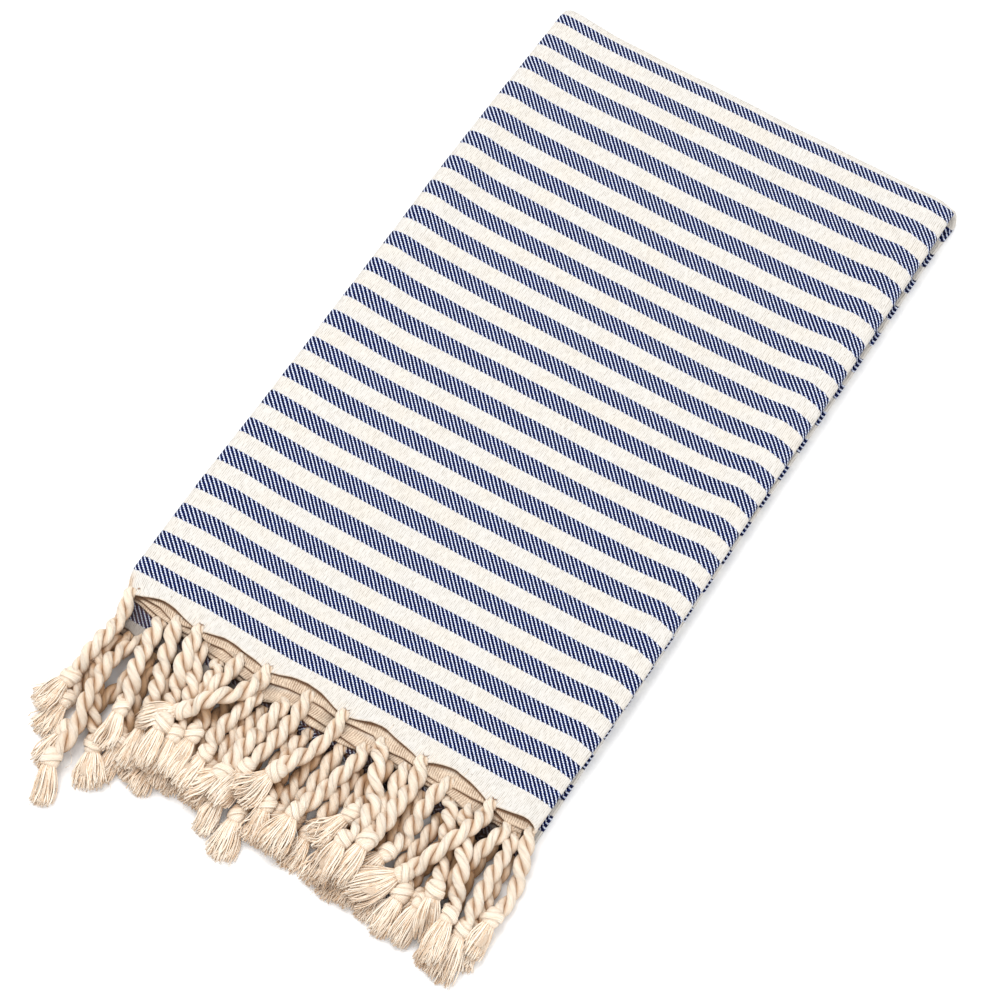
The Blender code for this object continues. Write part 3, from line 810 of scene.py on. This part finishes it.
def cord_route(cord):
    """The cord's way in plan, from its ply to the middle of its knot, and its first height."""
    x, ply, half = cord["root"] * MM, cord["ply"], cord["half"]
    y = -float(hem_reach(half, ply, np.array([x]))[0])
    level = -PLY_LEVEL[ply] if half == LOWER else float(ply_height(ply, x, 0.0, 1.0))
    on_top = ply == 1 and half == UPPER
    points = [(x, y + ROOT_INSIDE[on_top], 0)]
    path = [(px * MM, py * MM, 0) for px, py in (*cord["path"], cord["knot"])]
    if path[0][1] < y - ROOT_STRAIGHT:
        points.append((blend(x, path[0][0], 0.12), y - 0.3 * MM, 0))
    return smooth_path(points + path, CORD_STEP), HALF_THICKNESS + level + ROOT_RISE[on_top]


class Ground:
    """How high the things reach that have been laid so far, in square cells."""

    def __init__(self):
        self.heights = np.zeros(GROUND_CELLS)
        reach = range(-GROUND_REACH, GROUND_REACH + 1)
        self.offsets = [(i, j, math.hypot(i, j) * CELL) for i in reach for j in reach]

    def cells(self, x, y):
        column = np.rint((x - GROUND_CORNER[0]) / CELL).astype(int)
        row = np.rint((y - GROUND_CORNER[1]) / CELL).astype(int)
        edge = GROUND_REACH + 1
        columns, rows = GROUND_CELLS
        return np.clip(column, edge, columns - edge), np.clip(row, edge, rows - edge)

    def carried(self, x, y, radius):
        """Height of the middle of something round that rests at each place."""
        column, row = self.cells(x, y)
        best = np.zeros(len(column))
        for i, j, apart in self.offsets:
            level = self.heights[column + i, row + j] + np.sqrt(np.maximum(radius**2 - apart**2, 0))
            best = np.where(apart < radius, np.maximum(best, level), best)
        return best

    def cover(self, x, y, z, radius):
        """Raises the heights by something round."""
        column, row = self.cells(x, y)
        for i, j, apart in self.offsets:
            inside = apart < radius
            top = z + np.sqrt(np.maximum(radius**2 - apart**2, 0))
            np.maximum.at(self.heights, (column[inside] + i, row[inside] + j), top[inside])

    def cover_hem(self, y, height):
        """Raises the heights under the packet, from the lower half's hem inwards."""
        columns, rows = self.cells(np.array([0.0, PACKET_WIDTH]), np.array([y, y]))
        part = self.heights[columns[0] : columns[1], rows[0] :]
        np.maximum(part, height, out=part)

    def softened(self):
        """The heights without their sharp steps, for loose yarns to lie on."""
        return twice_averaged(np.max(shifted(self.heights, 1), axis=0))

    def shade(self, points):
        """From 0 on top of the fringe to 1 deep inside it, for points anywhere."""
        roof = twice_averaged(np.max(shifted(self.softened(), SHADE_REACH), axis=0))
        column = np.clip((points[:, 0] - GROUND_CORNER[0]) / CELL, 0, GROUND_CELLS[0] - 2)
        row = np.clip((points[:, 1] - GROUND_CORNER[1]) / CELL, 0, GROUND_CELLS[1] - 2)
        i, j = column.astype(int), row.astype(int)
        near = blend(roof[i, j], roof[i + 1, j], column - i)
        far = blend(roof[i, j + 1], roof[i + 1, j + 1], column - i)
        left, right, run = SHADE_SIDES
        inside = ease((points[:, 0] + left) / run) * ease((PACKET_WIDTH + right - points[:, 0]) / run)
        deep = blend(near, far, row - j) - points[:, 2] - SHADE_FROM
        return inside * ease(deep / SHADE_DEPTH)


def shifted(cells, reach):
    around = range(-reach, reach + 1)
    return [np.roll(cells, (i, j), axis=(0, 1)) for i in around for j in around]


def twice_averaged(cells):
    for _ in range(2):
        cells = np.mean(shifted(cells, 1), axis=0)
    return cells


def lay_cord(line, first_height, ground):
    """Gives the cord's line its heights: hanging from its ply, then resting on what lies there."""
    places = ways_along(line)
    radius = blend(CORD_RADIUS, KNOT_RADIUS, hill(places[-1] - places, 4 * MM))
    resting = ground.carried(line[:, 0], line[:, 1], radius * PRESS) + radius * (1 - PRESS)
    apart = np.abs(places[:, None] - places[None, :])
    spanning = (resting[None, :] - SPAN_SLOPE * apart).max(axis=1)
    height = np.maximum(spanning, first_height - HANG_SLOPE * places)
    height = np.minimum(height, HIGHEST_LINE)
    height = blend(first_height, height, ease((places - 2 * MM) / (11 * MM)))
    weights = hill(apart, SOFTEN)
    line[:, 2] = weights @ height / weights.sum(axis=1)
    line[:, 2] = np.where(places < ROOT_STRAIGHT, first_height, line[:, 2])
    free = places > 5 * MM
    x, y, z = line[free].T
    ground.cover(x, y, z - radius[free] * (1 - PRESS), radius[free] * PRESS)


def add_cord(soup, line, rng):
    """Two strands twisted together along the line."""
    places = ways_along(line)
    tangent, side, up = frames_of(line)
    pitch = TWIST_PITCH * rng.uniform(0.92, 1.08)
    phase = rng.uniform(-0.5, 0.5)
    size = rng.uniform(0.94, 1.05)
    wide = CORD_NARROW + sum(gain * ease(places / run) for gain, run in CORD_WIDENS)
    flat = blend(CORD_FLAT, 1.0, ease(places / CORD_ROUND_AT))[:, None, None]
    shrink = 1 - CORD_SHRINK[0] * ease((places - places[-1]) / CORD_SHRINK[1] + 1)
    slack = 1 + CORD_SLACK[0] * np.sin(places / CORD_SLACK[1] + rng.uniform(0, 6))
    sway = CORD_SWAY[0] * np.sin(places / CORD_SWAY[1] + rng.uniform(0, 6))
    angle = phase + math.tau * places / pitch + sway
    theta = math.tau * np.arange(STRAND_SIDES) / STRAND_SIDES
    cosine, sine = np.cos(theta)[None, :, None], np.sin(theta)[None, :, None]
    scale = (size * wide * shrink * slack)[:, None, None]
    for turn in (angle, angle + math.pi):
        out = (np.cos(turn)[:, None] * side + np.sin(turn)[:, None] * up)[:, None, :]
        across = np.cross(tangent[:, None, :], out)
        rings = scale * (
            STRAND_OFFSET * out + STRAND_RADIAL * cosine * out + STRAND_ACROSS * sine * across
        )
        # Flattened where the cord grows out of the cloth
        lift = (rings * up[:, None, :]).sum(axis=2, keepdims=True)
        rings = line[:, None, :] + rings - lift * (1 - flat) * up[:, None, :]
        yarn = theta[None, :] * YARNS_ROUND + places[:, None] / YARN_TURN
        # Painted shade between the strands and on the cord's underside
        inner = 0.36 * ease((0.4 - cosine) / 1.0) + 0.60 * ease((-0.60 - cosine) / 0.20)
        under = 0.66 * ease(0.25 - lift / CORD_RADIUS * 1.1)
        fibre = (yarn, places[:, None] / MM, rng.uniform(0, 50))
        soup.grid(rings, fibre, np.maximum(inner, under)[..., 0])
    return tangent[-1]


def lumps(rng, count, s, t):
    """A soft uneven value from -1 to 1 over two coordinates in radians."""
    total = 0.0
    for _ in range(count):
        first, second = rng.randint(1, 3), rng.uniform(0.5, 1.6)
        total = total + np.sin(first * t + second * s + rng.uniform(0, math.tau))
    return total / count


def add_knot(soup, knot, entry, cord, rng):
    """An overhand knot: a bulb of yarns with one broad band round it at a slant."""
    lean = math.radians(cord["lean"])
    leave = np.array([math.sin(lean), -math.cos(lean), 0.0])
    axis = entry * np.array([1, 1, 0]) + leave
    axis = axis / np.linalg.norm(axis)
    side = np.cross(axis, np.array([0, 0, 1.0]))
    up = np.cross(side, axis)
    size = rng.uniform(0.9, 1.08)
    share = np.linspace(-1, 1, KNOT_RINGS)
    along = share * KNOT_LENGTH / 2 * size
    shape = (np.clip(1 - np.abs(share) ** 2.7, 0, 1) ** 0.5)[:, None]
    radius = KNOT_RADIUS * size * blend(NECK_SHARE, 1.0, shape)
    theta = math.tau * np.arange(KNOT_SIDES) / KNOT_SIDES
    tilt = rng.choice((-1, 1)) * rng.uniform(0.35, 0.7)
    facing = rng.uniform(-0.9, 0.9)
    s, t = np.meshgrid(along / MM, theta, indexing="ij")
    # The band: q is the way from its middle, and its edges are pressed in
    q = s + tilt * radius / MM * np.cos(t - facing) + 0.5 * lumps(rng, 2, s / 3, t)
    band = ease((q + BAND_HALF) / BAND_STEP) * ease((BAND_HALF - q) / BAND_STEP)
    edge = hill(np.abs(q) - BAND_HALF, BAND_EDGE)
    outside = t * radius / MM * 0.9 + 0.9 * s
    lines = np.where(band > 0.5, q + 0.25 * np.sin(3 * t), outside)
    ridge = np.abs(np.cos(math.pi * lines / YARN_PITCH))
    r = radius * (0.92 + 0.09 * band) * (1 + 0.06 * lumps(rng, 3, s / 2.5, t))
    r = r + (0.10 * ridge - 0.38 * edge) * MM * shape
    points = (
        knot[None, None, :]
        + along[:, None, None] * axis
        + (r * np.cos(t))[..., None] * side
        + (r * np.sin(t) * KNOT_FLAT)[..., None] * up
    )
    other = np.where(band > 0.5, t * 4, s)
    # Painted shade at the band's pressed-in edges, at the knot's necks and on its underside
    painted_shade_and_tone = np.clip(edge * 0.3 + (1 - shape) * 0.4 + 0.45 * ease(-np.sin(t)), 0, 1)
    soup.grid(points, (lines * math.tau / YARN_PITCH / 7.0, other, rng.uniform(0, 50)), painted_shade_and_tone)
    return knot + leave * KNOT_LENGTH * TASSEL_START * size, leave


def add_tube(soup, line, radius, sides, number, across, painted_shade_and_tone):
    """A thin yarn along a line, with a radius at each of its points."""
    theta = math.tau * (np.arange(sides) + 0.5) / sides
    rings = rings_round(line, radius, radius, theta)
    fibre = (across + 0.1 * theta[None, :], ways_along(line)[:, None] / MM, number)
    soup.grid(rings, fibre, np.broadcast_to(painted_shade_and_tone, (len(line), sides)))


class TasselBed:
    """Where the yarns of one tassel run: plan places from how far out and to the side they are."""

    def __init__(self, start, leave, ground):
        self.start = start
        self.leave = leave
        self.side = np.cross(leave, np.array([0, 0, 1.0]))
        self.ground = ground
        self.soft = ground.softened()

    def line(self, forward, lateral, lift):
        """A line from its ways forward and to the side, and its heights over the ground at its end."""
        plan = self.start[:2] + self.leave[:2] * forward[:, None] + self.side[:2] * lateral[:, None]
        below = self.soft[self.ground.cells(plan[:, 0], plan[:, 1])]
        share = np.linspace(0, 1, len(forward))
        rest = np.minimum(below, self.start[2] + 1.5 * MM) + lift
        z = blend(self.start[2] + lift - 2.4 * MM, rest, ease(share * 1.25))
        z[1:-1] = (z[:-2] + 2 * z[1:-1] + z[2:]) / 4
        return np.column_stack([plan, np.maximum(z, lift * 0.9)])


def add_core(soup, bed, length, fan):
    """The yarns that are too deep in the brush to be told apart."""
    share = np.linspace(0, 1, CORE_RINGS)
    lift = np.full(CORE_RINGS, CORE_HEIGHT)
    middle = bed.line(share * length * CORE_LENGTH, np.zeros(CORE_RINGS), lift)
    theta = math.tau * np.arange(CORE_SIDES) / CORE_SIDES
    end = np.clip(share - CORE_CLOSES, 0, 1) / (1 - CORE_CLOSES)
    closing = np.sqrt(np.clip(1 - end**2, 0, 1)) * 0.93 + 0.07
    wide = blend(2.7 * MM, fan * 0.66, 1 - (1 - share) ** 2.0) * closing
    high = blend(2.4 * MM, 1.5 * MM, share) * closing
    rings = rings_round(middle, wide, high, theta)
    fibre = (np.cos(theta)[None, :] * 9.0, share[:, None] * length / MM, 3.0)
    # Painted shade over all of the core, deep in the brush
    soup.grid(rings, fibre, np.full(rings.shape[:2], 0.36))


def add_tassel(soup, start, leave, cord, ground, rng):
    """A brush of loose yarns that bulges out of the knot and comes to rest on what lies below."""
    bed = TasselBed(start, leave, ground)
    length = cord["tassel"] * MM
    fan = cord["fan"] * MM / 2
    curl = cord["curl"]
    add_core(soup, bed, length, fan)
    share = np.linspace(0, 1, YARN_STEPS)
    opening = 1 - (1 - share) ** 2.2
    tops = []
    for number in range(YARN_COUNT):
        # a is the yarn's place across the brush and b its place up, both from -1 to 1
        spread = math.sqrt((number + 0.5) / YARN_COUNT)
        angle = number * GOLDEN_ANGLE
        a, b = spread * math.cos(angle), spread * math.sin(angle)
        long = length * rng.uniform(0.84, 1.06) * (1 - 0.12 * a * a)
        a_end = a * fan * rng.uniform(0.9, 1.12) + rng.gauss(0, 0.5) * MM
        wave = rng.gauss(0, 0.4 + 0.8 * curl) * MM
        cycles = rng.uniform(0.5, 1.3 + curl)
        phase = rng.uniform(0, math.tau)
        sweep = rng.gauss(0, 2.4 * curl) * MM - a * 0.10 * fan
        lateral = blend(a * 3.0 * MM, a_end, opening)
        lateral = lateral + wave * share * np.sin(math.tau * cycles * share + phase)
        lateral = lateral + sweep * share**2
        height = blend((2.5 + 2.7 * b) * MM, (2.0 + 1.75 * b) * MM, share)
        height = height + 0.5 * b * MM * np.sin(math.pi * share) + 0.3 * np.abs(wave) * share
        line = bed.line(long * (share - curl * 0.08 * share**2), lateral, height)
        radius = YARN_RADIUS * rng.uniform(0.85, 1.2) * (1 - 0.3 * share**3)
        # Painted shade on the lower yarns and near the knot; some yarns also get a darker tone at random
        painted_shade_and_tone = 0.42 * (1 - ease((b + 0.9) / 1.5)) + 0.35 * (1 - ease(share / 0.14))
        painted_shade_and_tone = np.clip(painted_shade_and_tone + rng.choice((0, 0, 0.06, 0.2)), 0, 1)[:, None]
        add_tube(soup, line, radius, YARN_SIDES, rng.uniform(0, 50), rng.uniform(0, 0.9), painted_shade_and_tone)
        tops.append(line)
    share = np.linspace(0, 1, HAIR_STEPS)
    for _ in range(HAIR_COUNT):
        a = rng.uniform(-1, 1)
        bow = rng.gauss(0, 3.0) * MM
        lateral = a * fan * share * rng.uniform(0.8, 1.5)
        lateral = lateral + bow * np.sin(math.pi * share * rng.uniform(0.6, 1.4))
        height = blend(4.0 * MM, rng.uniform(1.0, 5.5) * MM, share)
        line = bed.line(length * rng.uniform(0.5, 1.12) * share, lateral, height)
        radius = np.full(HAIR_STEPS, HAIR_RADIUS)
        add_tube(soup, line, radius, HAIR_SIDES, rng.uniform(0, 50), 0.4, 0.0)
    x, y, z = np.vstack(tops).T
    ground.cover(x, y, z - 1.2 * MM, np.full(len(x), 1.3 * MM))


def clean_faces(faces):
    """Quads with a repeated last corner become triangles."""
    return [list(dict.fromkeys(face)) for face in faces.tolist()]


def laying_order(cord):
    """The lower half's cords come first, and within a layer the ones whose ply lies lowest."""
    lower = cord["half"] == LOWER
    return not lower, LAYERS.index(cord["layer"]), cord["ply"] if lower else -cord["ply"]


def make_fringes(material):
    """Both fringes, laid cord by cord, as three pieces each: cords, knots and tassels."""
    cords = [dict(zip(CORD_COLUMNS, row), half=half) for half in (LOWER, UPPER) for row in CORDS[half]]
    names = {LOWER: "lower_fringe", UPPER: "upper_fringe"}
    nodes = {LOWER: "fringe_lower_end", UPPER: "fringe_upper_end"}
    soups = {half: {part: Soup() for part in SHADE_OF} for half in names}
    rng = random.Random(SEED)
    ground = Ground()
    hem_laid = False
    for cord in sorted(cords, key=laying_order):
        if cord["half"] == UPPER and not hem_laid:
            ground.cover_hem(-HEM_BASE[LOWER][4], HALF_THICKNESS)
            hem_laid = True
        line, first_height = cord_route(cord)
        lay_cord(line, first_height, ground)
        soup = soups[cord["half"]]
        entry = add_cord(soup["cords"], line, rng)
        start, leave = add_knot(soup["knots"], line[-1], entry, cord, rng)
        add_tassel(soup["tassels"], start, leave, cord, ground, rng)
    pieces = []
    for half, parts in soups.items():
        for part, soup in parts.items():
            points = np.vstack(soup.points)
            # Painted shade deep in the fringe, and more painted shade on the lower fringe's cords
            shade = ground.shade(points) * SHADE_OF[part]
            tone = LOWER_CORD_SHADE * (half == LOWER and part == "cords")
            painted_shade_and_tone = np.clip(np.concatenate(soup.painted_shade_and_tone) + tone, 0, 1)
            attributes = {"fibre": np.vstack(soup.fibre), "painted_shade_and_tone": painted_shade_and_tone + shade - painted_shade_and_tone * shade}
            faces = clean_faces(np.vstack(soup.faces))
            name = names[half] + "_" + part
            piece = new_piece(name, points, faces, material, attributes, "natural_cotton")
            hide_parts(nodes[half])
            pieces.append(piece)
    return pieces, ground


# --- Materials ---


class Graph:
    """Short calls for building a material's nodes."""

    def __init__(self, name):
        self.material = bpy.data.materials.new(name)
        self.material.use_nodes = True
        self.tree = self.material.node_tree
        self.shader = self.tree.nodes["Principled BSDF"]

    def node(self, kind, inputs, **settings):
        made = self.tree.nodes.new(kind)
        for name, value in settings.items():
            setattr(made, name, value)
        for socket, value in inputs.items():
            self.put(made.inputs[socket], value)
        return made.outputs

    def put(self, socket, value):
        if isinstance(value, bpy.types.NodeSocket):
            self.tree.links.new(value, socket)
        else:
            socket.default_value = value

    def calc(self, operation, *values):
        return self.node("ShaderNodeMath", dict(enumerate(values)), operation=operation)[0]

    def add(self, first, *others):
        for value in others:
            first = self.calc("ADD", first, value)
        return first

    def times(self, first, *others):
        for value in others:
            first = self.calc("MULTIPLY", first, value)
        return first

    def less(self, a, b):
        return self.calc("SUBTRACT", a, b)

    def size(self, value):
        return self.calc("ABSOLUTE", value)

    def wave(self, value, pitch=math.tau):
        """From -1 to 1 and back over each pitch."""
        return self.calc("COSINE", self.times(value, math.tau / pitch))

    def step(self, value, low, high, first=0.0, last=1.0):
        """A soft step of value from low to high."""
        inputs = dict(enumerate((value, low, high, first, last)))
        return self.node("ShaderNodeMapRange", inputs, interpolation_type="SMOOTHSTEP")[0]

    def fall(self, value, low, high):
        return self.step(value, low, high, 1.0, 0.0)

    def mix(self, factor, first, second):
        inputs = {"Factor": factor, 6: first, 7: second}
        return self.node("ShaderNodeMix", inputs, data_type="RGBA")[2]

    def read(self, attribute):
        return self.node("ShaderNodeAttribute", {}, attribute_type="GEOMETRY", attribute_name=attribute)

    def split(self, vector):
        return self.node("ShaderNodeSeparateXYZ", {0: vector})

    def join(self, x, y, z=0.0):
        return self.node("ShaderNodeCombineXYZ", {0: x, 1: y, 2: z})[0]

    def noise(self, vector, scale=1.0, detail=2.0, roughness=0.5):
        inputs = {"Vector": vector, "Scale": scale, "Detail": detail, "Roughness": roughness}
        return self.node("ShaderNodeTexNoise", inputs)["Fac"]

    def bump(self, height, strength, distance):
        inputs = {"Strength": strength, "Distance": distance, "Height": height}
        self.put(self.shader.inputs["Normal"], self.node("ShaderNodeBump", inputs)[0])

    def finish(self, colour, roughness, specular, sheen=0.0):
        self.put(self.shader.inputs["Base Color"], colour)
        self.put(self.shader.inputs["Roughness"], roughness)
        self.shader.inputs["Sheen Weight"].default_value = sheen
        self.shader.inputs["Sheen Roughness"].default_value = 0.45
        self.shader.inputs["Specular IOR Level"].default_value = specular
        return self.material


NAVY = (0.0002, 0.0014, 0.026, 1)
BLUE = (0.0025, 0.018, 0.150, 1)
PALE = (0.34, 0.41, 0.63, 1)
WHITE = (0.81, 0.85, 0.93, 1)
CREAM = (0.690, 0.665, 0.628, 1)
CREAM_WARM = (0.695, 0.655, 0.598, 1)
CREAM_SHADE = (0.36, 0.325, 0.275, 1)
# Painted shade colours on the cloth
SHADE_TAN = (0.80, 0.65, 0.50, 1)
SHADE_BROWN = (0.20, 0.085, 0.03, 1)
SHADOW = (0.05, 0.028, 0.018, 1)
FLECK = (0.20, 0.14, 0.08, 1)
ECRU = (0.935, 0.81, 0.665, 1)
ECRU_PALE = (0.96, 0.885, 0.775, 1)
ECRU_SHADE = (0.66, 0.42, 0.23, 1)
# The darkest painted shade on the cords
ECRU_DEEP_SHADE = (0.40, 0.185, 0.05, 1)
# In millimetres
YARN = 0.907  # between two warp yarns, and between two weft yarns
TWILL = 3 * YARN  # the twill's pitch across the cloth; it rises at 45 degrees
PLEAT = 2 * YARN  # the pitch of the pleats where warp yarns gather to a cord
HEM_LINE = 1.25  # the pitch of the deeper hems' ribs
SLIT_PLACE = 4.2  # how far from the hem the small opening above each root is
NAVY_FROM = (0.142, 0.182)  # where the twill turns from its pale line to navy, of half its pitch
STRIPE_EDGE = 0.010  # how soft a stripe's edge is, as a share of the period


def cloth_material():
    g = Graph("striped_twill")
    u, v, covered = g.split(g.read("weave")["Vector"])
    beside, distance, depth = g.split(g.read("hem")["Vector"])
    phase = g.read("stripe")["Fac"]
    place = g.join(u, v)
    beside = g.size(beside)
    # The yarns are a little uneven
    drift = g.less(g.noise(g.join(g.times(u, 0.05), g.times(v, 0.35))), 0.5)
    wander = g.less(g.noise(place, 0.35), 0.5)
    rib = g.wave(g.add(u, g.times(wander, 0.5)), YARN)
    pick = g.wave(g.add(v, g.times(drift, 0.4)), YARN)
    # Twill: diagonals that step with the warp
    column = g.times(g.calc("FLOOR", g.calc("DIVIDE", u, YARN)), YARN)
    slope = g.add(g.times(u, 0.5), g.times(column, 0.5), g.add(v, g.times(wander, 0.6)))
    cycle = g.calc("FRACT", g.calc("DIVIDE", slope, TWILL))
    uneven = g.times(g.less(g.noise(place, 1.1), 0.5), 0.10)
    navy = g.step(g.add(g.size(g.less(cycle, 0.5)), uneven), *NAVY_FROM)
    # Stripes
    offset = g.less(g.calc("FRACT", g.add(phase, g.add(0.5, g.times(wander, 0.012)))), 0.5)
    offset = g.add(g.size(offset), g.times(g.wave(cycle, 1.0), STRIPE_EDGE))
    blue = g.fall(offset, STRIPE_HALF - STRIPE_EDGE, STRIPE_HALF + STRIPE_EDGE)
    dash = g.times(g.add(pick, 1.0), 0.5)
    gap = g.mix(g.step(dash, 0.1, 0.6), PALE, WHITE)
    tone = g.step(g.noise(place, 0.9, 3.0), 0.4, 0.75)
    twill = g.mix(navy, gap, g.mix(g.times(tone, 0.65), NAVY, BLUE))
    # Cream, with fine ribs and flecks
    loose = g.noise(g.join(g.times(u, 1.6), g.times(v, 0.25)), 1.0, 3.0, 0.6)
    broken = g.times(g.fall(rib, -1.0, 0.1), g.step(loose, 0.38, 0.66))
    cloudy = g.noise(place, 0.045, 3.0)
    cream = g.mix(g.step(cloudy, 0.35, 0.7), CREAM, CREAM_WARM)
    cream = g.mix(broken, cream, CREAM_SHADE)
    flecks = g.step(g.noise(g.join(g.times(u, 1.1), g.times(v, 0.9)), 1.0, 1.0), 0.735, 0.775)
    cream = g.mix(g.times(flecks, 0.7), cream, FLECK)
    # Deeper plies are ribbed at their hems, with painted shade there: tan, darker along ribs, wrinkles
    # and patches, and under the ply above
    deep = g.times(g.step(depth, 0.2, 0.8), g.fall(distance, 5.0, 13.0))
    lines = g.fall(g.wave(g.add(u, g.times(wander, 1.5)), HEM_LINE), -1.0, 0.2)
    wrinkle = g.noise(g.join(g.times(u, 0.14), g.times(v, 0.22), depth))
    wrinkle = g.fall(g.size(g.less(wrinkle, 0.5)), 0.0, 0.035)
    patch = g.step(g.noise(g.join(g.times(u, 0.12), g.times(v, 0.3), depth)), 0.3, 0.7)
    shade = g.add(g.times(lines, g.add(0.25, g.times(patch, 0.3))), g.times(patch, 0.18))
    shade = g.calc("MAXIMUM", shade, g.times(wrinkle, 0.4))
    cream = g.mix(deep, cream, g.mix(shade, SHADE_TAN, SHADE_BROWN))
    under = g.times(g.step(covered, -1.1, 0.1), g.fall(distance, 10.0, 18.0))
    # Pleats above each root, with painted shade in them, and painted shade along the hem's rim
    gather = g.times(g.fall(beside, 1.5, 8.0), g.fall(distance, 1.0, 8.0))
    pleats = g.times(g.fall(g.wave(u, PLEAT), -1.0, 0.1), gather)
    cream = g.mix(g.times(pleats, 0.55), cream, SHADE_TAN)
    cream = g.mix(g.times(g.fall(distance, 0.0, 0.9), 0.35), cream, SHADE_TAN)
    # A small opening above each root, painted brown as the shade inside it
    bend = g.times(g.less(g.noise(g.join(g.times(u, 0.3), 3.0), 1.0, 1.0), 0.5), 3.0)
    slit_line = g.size(g.less(g.add(distance, bend), SLIT_PLACE))
    slit = g.times(g.fall(slit_line, 0.1, 0.7), g.fall(beside, 0.6, 2.4), g.fall(depth, 0.2, 0.8))
    colour = g.mix(blue, cream, twill)
    colour = g.mix(g.times(slit, 0.85), colour, SHADE_BROWN)
    # Painted shade on the cloth next to and under the edge of the ply above
    colour = g.mix(g.times(under, 0.8), colour, SHADE_BROWN)
    colour = g.mix(g.times(g.read("shade")["Fac"], 0.85), colour, SHADOW)
    height = g.add(
        g.times(rib, 0.30),
        g.times(pick, 0.12),
        g.times(g.less(0.5, navy), g.times(blue, 0.5)),
        g.times(g.noise(place, 1.8, 3.0), 0.9),
    )
    for dent, deep_by in ((pleats, 1.8), (slit, 2.5), (g.times(lines, deep), 1.5)):
        height = g.less(height, g.times(dent, deep_by))
    g.bump(height, 0.75, 0.22 * MM)
    return g.finish(colour, g.step(loose, 0.2, 0.8, 0.82, 0.96), specular=0.12, sheen=0.02)


def cord_material():
    g = Graph("twisted_cotton")
    across, along, piece = g.split(g.read("fibre")["Vector"])
    wander = g.noise(g.join(across, g.times(along, 0.12), piece), 1.2)
    lines = g.calc("COSINE", g.times(g.add(across, g.times(wander, 0.9)), 7.0))
    fuzz = g.noise(g.join(g.times(across, 2.5), g.times(along, 0.8), piece), 1.5, 3.0, 0.6)
    tone = g.step(g.noise(g.join(across, g.times(along, 0.25), piece), 0.5), 0.3, 0.75)
    colour = g.mix(tone, ECRU, ECRU_PALE)
    groove = g.times(g.fall(lines, -1.0, -0.1), 0.7, g.step(fuzz, 0.25, 0.6))
    colour = g.mix(groove, colour, ECRU_SHADE)
    # Painted shade from each piece's own values, darkening towards deep brown
    colour = g.mix(g.times(g.read("painted_shade_and_tone")["Fac"], 0.8), colour, ECRU_DEEP_SHADE)
    flecks = g.step(g.noise(g.join(g.times(across, 1.7), along, piece), 1.0, 1.0), 0.77, 0.82)
    colour = g.mix(g.times(flecks, 0.35), colour, FLECK)
    g.bump(g.add(g.times(lines, 0.55), fuzz), 0.7, 0.26 * MM)
    return g.finish(colour, g.step(fuzz, 0.2, 0.8, 0.84, 0.97), specular=0.15, sheen=0.05)


def floor_material():
    g = Graph("pale_floor")
    where = g.node("ShaderNodeTexCoord", {})["Object"]
    colour = g.mix(g.noise(where, 1.5), (0.93, 0.93, 0.93, 1), (0.95, 0.95, 0.95, 1))
    return g.finish(colour, 0.9, specular=0.1)


# --- Floor, light and camera ---

FLOOR_HALF = 3.0
FLOOR_STEPS = 9
FLOOR_DROP = 0.3 * MM
CAMERA_PLACE = Vector((0.39446, -0.60748, 1.35558))
CAMERA_LOOK = Vector((-0.25600, 0.35962, -0.89729))
CAMERA_UP = Vector((-0.47352, 0.76259, 0.44073))
CAMERA_LENS = 102.9
CAMERA_SENSOR = 36.0
LIGHTS = {  # place, size, power
    "key_light": ((-0.5, 0.2, 1.95), 1.3, 26.0),
    "fill_light": ((0.9, -0.9, 1.7), 1.6, 10.0),
}
WORLD_STRENGTH = 0.82


def make_floor():
    steps = np.linspace(-FLOOR_HALF, FLOOR_HALF, FLOOR_STEPS)
    middle_x, middle_y = ROW_ORIGIN.xy
    points = [(middle_x + x, middle_y + y, -FLOOR_DROP) for y in steps for x in steps]
    rows = range(FLOOR_STEPS - 1)
    firsts = [row * FLOOR_STEPS + column for row in rows for column in rows]
    faces = [(a, a + 1, a + FLOOR_STEPS + 1, a + FLOOR_STEPS) for a in firsts]
    floor = new_piece("floor", points, faces, floor_material())
    return floor


def make_lights():
    for name, (place, size, power) in LIGHTS.items():
        data = bpy.data.lights.new(name, "AREA")
        data.shape = "DISK"
        data.size = size
        data.energy = power
        light = bpy.data.objects.new(name, data)
        light.location = place
        light.rotation_mode = "QUATERNION"
        light.rotation_quaternion = (-Vector(place)).to_track_quat("-Z", "Y")
        bpy.context.scene.collection.objects.link(light)
    world = bpy.data.worlds.new("studio")
    world.use_nodes = True
    background = world.node_tree.nodes["Background"]
    background.inputs["Color"].default_value = (1.0, 1.0, 1.0, 1)
    background.inputs["Strength"].default_value = WORLD_STRENGTH
    bpy.context.scene.world = world


def make_camera():
    data = bpy.data.cameras.new("camera")
    data.lens = CAMERA_LENS
    data.sensor_width = CAMERA_SENSOR
    data.clip_start = 0.01
    data.clip_end = 20.0
    camera = bpy.data.objects.new("camera", data)
    back = -CAMERA_LOOK.normalized()
    right = CAMERA_UP.cross(back).normalized()
    turn = Matrix((right, back.cross(right), back)).transposed().to_4x4()
    camera.matrix_world = Matrix.Translation(CAMERA_PLACE) @ turn
    bpy.context.scene.collection.objects.link(camera)
    bpy.context.scene.camera = camera


def main():
    make_camera()
    floor = make_floor()
    make_lights()
    bpy.context.scene.view_settings.view_transform = "Standard"
    fringe, ground = make_fringes(cord_material())
    cloth = make_cloth(cloth_material(), ground)


main()
